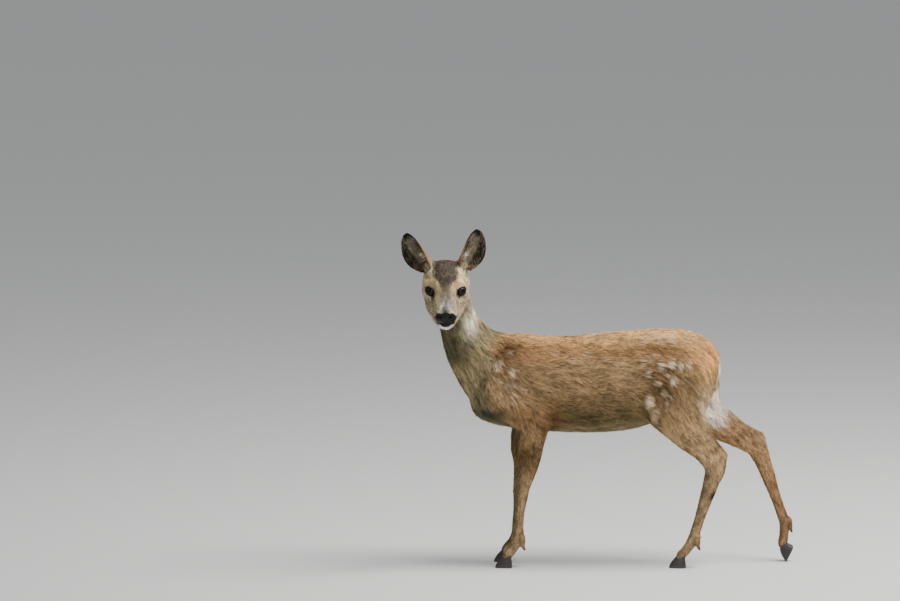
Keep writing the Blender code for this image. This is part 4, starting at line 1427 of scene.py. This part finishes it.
in_head_part = ground.is_head > 0.5
in_ears = ground.is_ear > 0.5
in_neck = ~in_head_part & ~in_ears & (ground.is_neck > 0.5)
in_legs = ~in_head_part & ~in_ears & ~in_neck & (ground.is_leg > 0.5)
in_trunk = ~(in_head_part | in_ears | in_neck | in_legs)
left_side = ground.body[:, 1] < 0
ahead = ground.body[:, 0] < SIDES_MEET
COAT = {
    "coat_head": in_head_part,
    "coat_ears": in_ears,
    "coat_neck": in_neck,
    "coat_side_left": in_trunk & left_side & ahead,
    "coat_side_right": in_trunk & ~left_side & ahead,
    "coat_haunch_left": in_trunk & left_side & ~ahead,
    "coat_haunch_right": in_trunk & ~left_side & ~ahead,
    "coat_forelegs": in_legs & (ground.body[:, 0] < 0),
    "coat_hindlegs": in_legs & (ground.body[:, 0] >= 0),
}
for name, chosen in COAT.items():
    grow(name, chosen)

# %% [markdown]
# ### Wisps, lashes and whiskers
# Long pale hairs stand free in the cup of each ear and fan out from its inner edge. Dark lashes fringe
# the upper lids, and a few stiff whiskers grow on lips and chin. These are too few to draw at random on
# the whole skin, so their roots are placed on the ear's rows, on the lid's edge and round the muzzle.

# %% Fine long hairs


def place_on_skin(points):
    """The unwrapped skin's coordinates nearest to some points."""
    nearest = [surface.find_nearest(point)[2] for point in points.tolist()]
    return skin_uv[skin_loops[nearest]].mean(1)


def fine_hairs(name, rows):
    """Blades from rows of root, middle, tip, half width and colour, all in the head's own axes."""
    roots, middles, tips = (
        (np.array([row[k] for row in rows]) @ HEAD_AXES.T + np.array(head_centre)) * MM for k in range(3)
    )
    half_width = np.array([row[3] for row in rows])[:, None] * MM
    side = unit(np.cross(tips - roots, rng.normal(0, 1, (len(rows), 3)))) * half_width
    colour = np.array([row[4] for row in rows])
    blades(name, roots, middles, tips, side, colour, rng.random(len(rows)), place_on_skin(roots))


INNER_WISPS, OUTER_WISPS, LASHES, WHISKERS = 420, 260, 34, 60

hairs = []
for side in LEFT_OF_HEAD:
    _, up, front, across = (np.array(axis) for axis in ear_axes(side))
    for _ in range(INNER_WISPS):
        share = rng.uniform(0.14, 0.56)
        turn = -0.42 + 0.3 * rng.random() ** 1.3
        root = np.array(ear_point(side, share, turn, 1.4))
        fan = rng.uniform(0.45, 1.05)
        reach = rng.uniform(7, 15) * (1 - 0.4 * share)
        along = direction(up * (1.1 - fan) + across * fan + front * rng.uniform(0.0, 0.3))
        bright = rng.random() < 0.9 - 7 * abs(share - 0.27)
        colour = EAR_PALE if bright else EAR_INNER * rng.uniform(0.6, 1.4)
        hairs.append((root, root + along * reach * 0.5 + front * 0.8, root + along * reach, 0.28, colour))
    for _ in range(OUTER_WISPS):
        share = rng.uniform(0.12, 0.8)
        root = np.array(ear_point(side, share, rng.uniform(0.2, 0.46), 1.2))
        reach = rng.uniform(7, 13)
        along = direction(up * 0.9 - across * rng.uniform(0.2, 0.7) + front * 0.15)
        colour = EAR_INNER * rng.uniform(0.5, 1.8)
        hairs.append((root, root + along * reach * 0.5 + front * 0.6, root + along * reach, 0.25, colour))
fine_hairs("ear_wisps", hairs)

hairs = []
for side in LEFT_OF_HEAD:
    middle_way, inwards, up = eye_axes(side, *LIDS)
    for turn in np.radians(np.linspace(55, 170, LASHES)):
        open_here = math.radians(lid_opening(math.degrees(turn)) + 3)
        round_eye = math.cos(turn) * inwards + math.sin(turn) * up
        outwards = math.cos(open_here) * middle_way + math.sin(open_here) * round_eye
        root = EYE_CENTRES[side] + outwards * (EYE_RADIUS + 0.9)
        reach = rng.uniform(4, 6.5)
        along_lash = direction(outwards + 0.25 * up + 0.2 * rng.normal(0, 1, 3) * 0.5)
        middle = root + along_lash * reach * 0.55
        hairs.append((root, middle, middle + (along_lash + 0.5 * up) * reach * 0.4, 0.16, LID_BLACK))
for _ in range(WHISKERS):
    side_of_face = rng.choice((-1, 1))
    start = np.array((rng.uniform(48, 68), 30.0 * side_of_face, rng.uniform(-40, -12)))
    found = surface.find_nearest(Vector(in_head(*start)))[0]
    root = head_mm(np.array([found]))[0]
    along = direction((rng.uniform(-0.9, 0.2), side_of_face, rng.uniform(-0.8, 0.1)))
    reach = rng.uniform(7, 14)
    hairs.append((root, root + along * reach / 2, root + along * reach + (0, 0, -1.5), 0.11, FACE_DARK))
fine_hairs("lashes_and_whiskers", hairs)

# %% [markdown]
# ## Eyes
# A deer's eye is large, dark and wet. The iris is a brown so deep that it hardly shows round the pupil,
# which is a level oval. A clear coat on the shader stands for the cornea and catches the sky. The ball
# is a smooth sphere with its pole on the line of sight, so that the pattern of the iris can run round
# that pole.

# %% Eyeballs


def eye_finish():
    finish, tree, shader = new_finish("wet eye", 0.25)
    fill(tree, shader, {"Coat Weight": 0.3, "Coat Roughness": 0.03, "Specular IOR Level": 0.05})
    colours = add_node(tree, "ShaderNodeValToRGB")
    stops = colours.color_ramp.elements
    stops[0].position, stops[0].color = 0.36, (0.002, 0.002, 0.003, 1)
    stops[1].position, stops[1].color = 0.46, (0.008, 0.0045, 0.003, 1)
    for place, colour in ((0.66, (0.013, 0.007, 0.004, 1)), (0.80, (0.006, 0.004, 0.003, 1))):
        stop = stops.new(place)
        stop.color = colour
    fibres = add_node(tree, "ShaderNodeTexNoise", {"Scale": 9, "Detail": 4})
    uneven = maths(tree, "MULTIPLY", fibres.outputs["Fac"], 0.05)
    place = maths(tree, "ADD", attribute(tree, "from_pupil", "Fac"), uneven)
    fill(tree, colours, {"Fac": place})
    fill(tree, shader, {"Base Color": colours.outputs["Color"]})
    return finish


wet_eye = eye_finish()
for side in LEFT_OF_HEAD:
    form = bmesh.new()
    bmesh.ops.create_uvsphere(form, u_segments=56, v_segments=36, radius=EYE_RADIUS - 0.15)
    turn = np.stack(eye_axes(side, *GAZE), 1)  # columns: sight, towards the nose, up
    local = np.array([vert.co[:] for vert in form.verts]) @ np.array([[0, 1, 0], [0, 0, 1], [1, 0, 0]])
    level = np.hypot(local[:, 1] / 1.25, local[:, 2] / 0.9) / EYE_RADIUS
    from_pupil = np.where(local[:, 0] > 0, level, 1)
    local[:, 0] += 0.5 * np.exp(-((level / 0.55) ** 2)) * (local[:, 0] > 0)
    placed = (EYE_CENTRES[side] + local @ turn.T) @ HEAD_AXES.T + np.array(head_centre)
    for vert, place in zip(form.verts, placed * MM):
        vert.co = place
    eyeball = object_from(f"eyeball_{side}", form)
    eyeball.data.shade_smooth()
    write_attribute(eyeball.data, "from_pupil", from_pupil)
    eyeball.data.materials.append(wet_eye)
    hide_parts(f"eye_{side}")
    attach(eyeball, "root")
print("eyes:", EYE_RADIUS, "mm in radius")
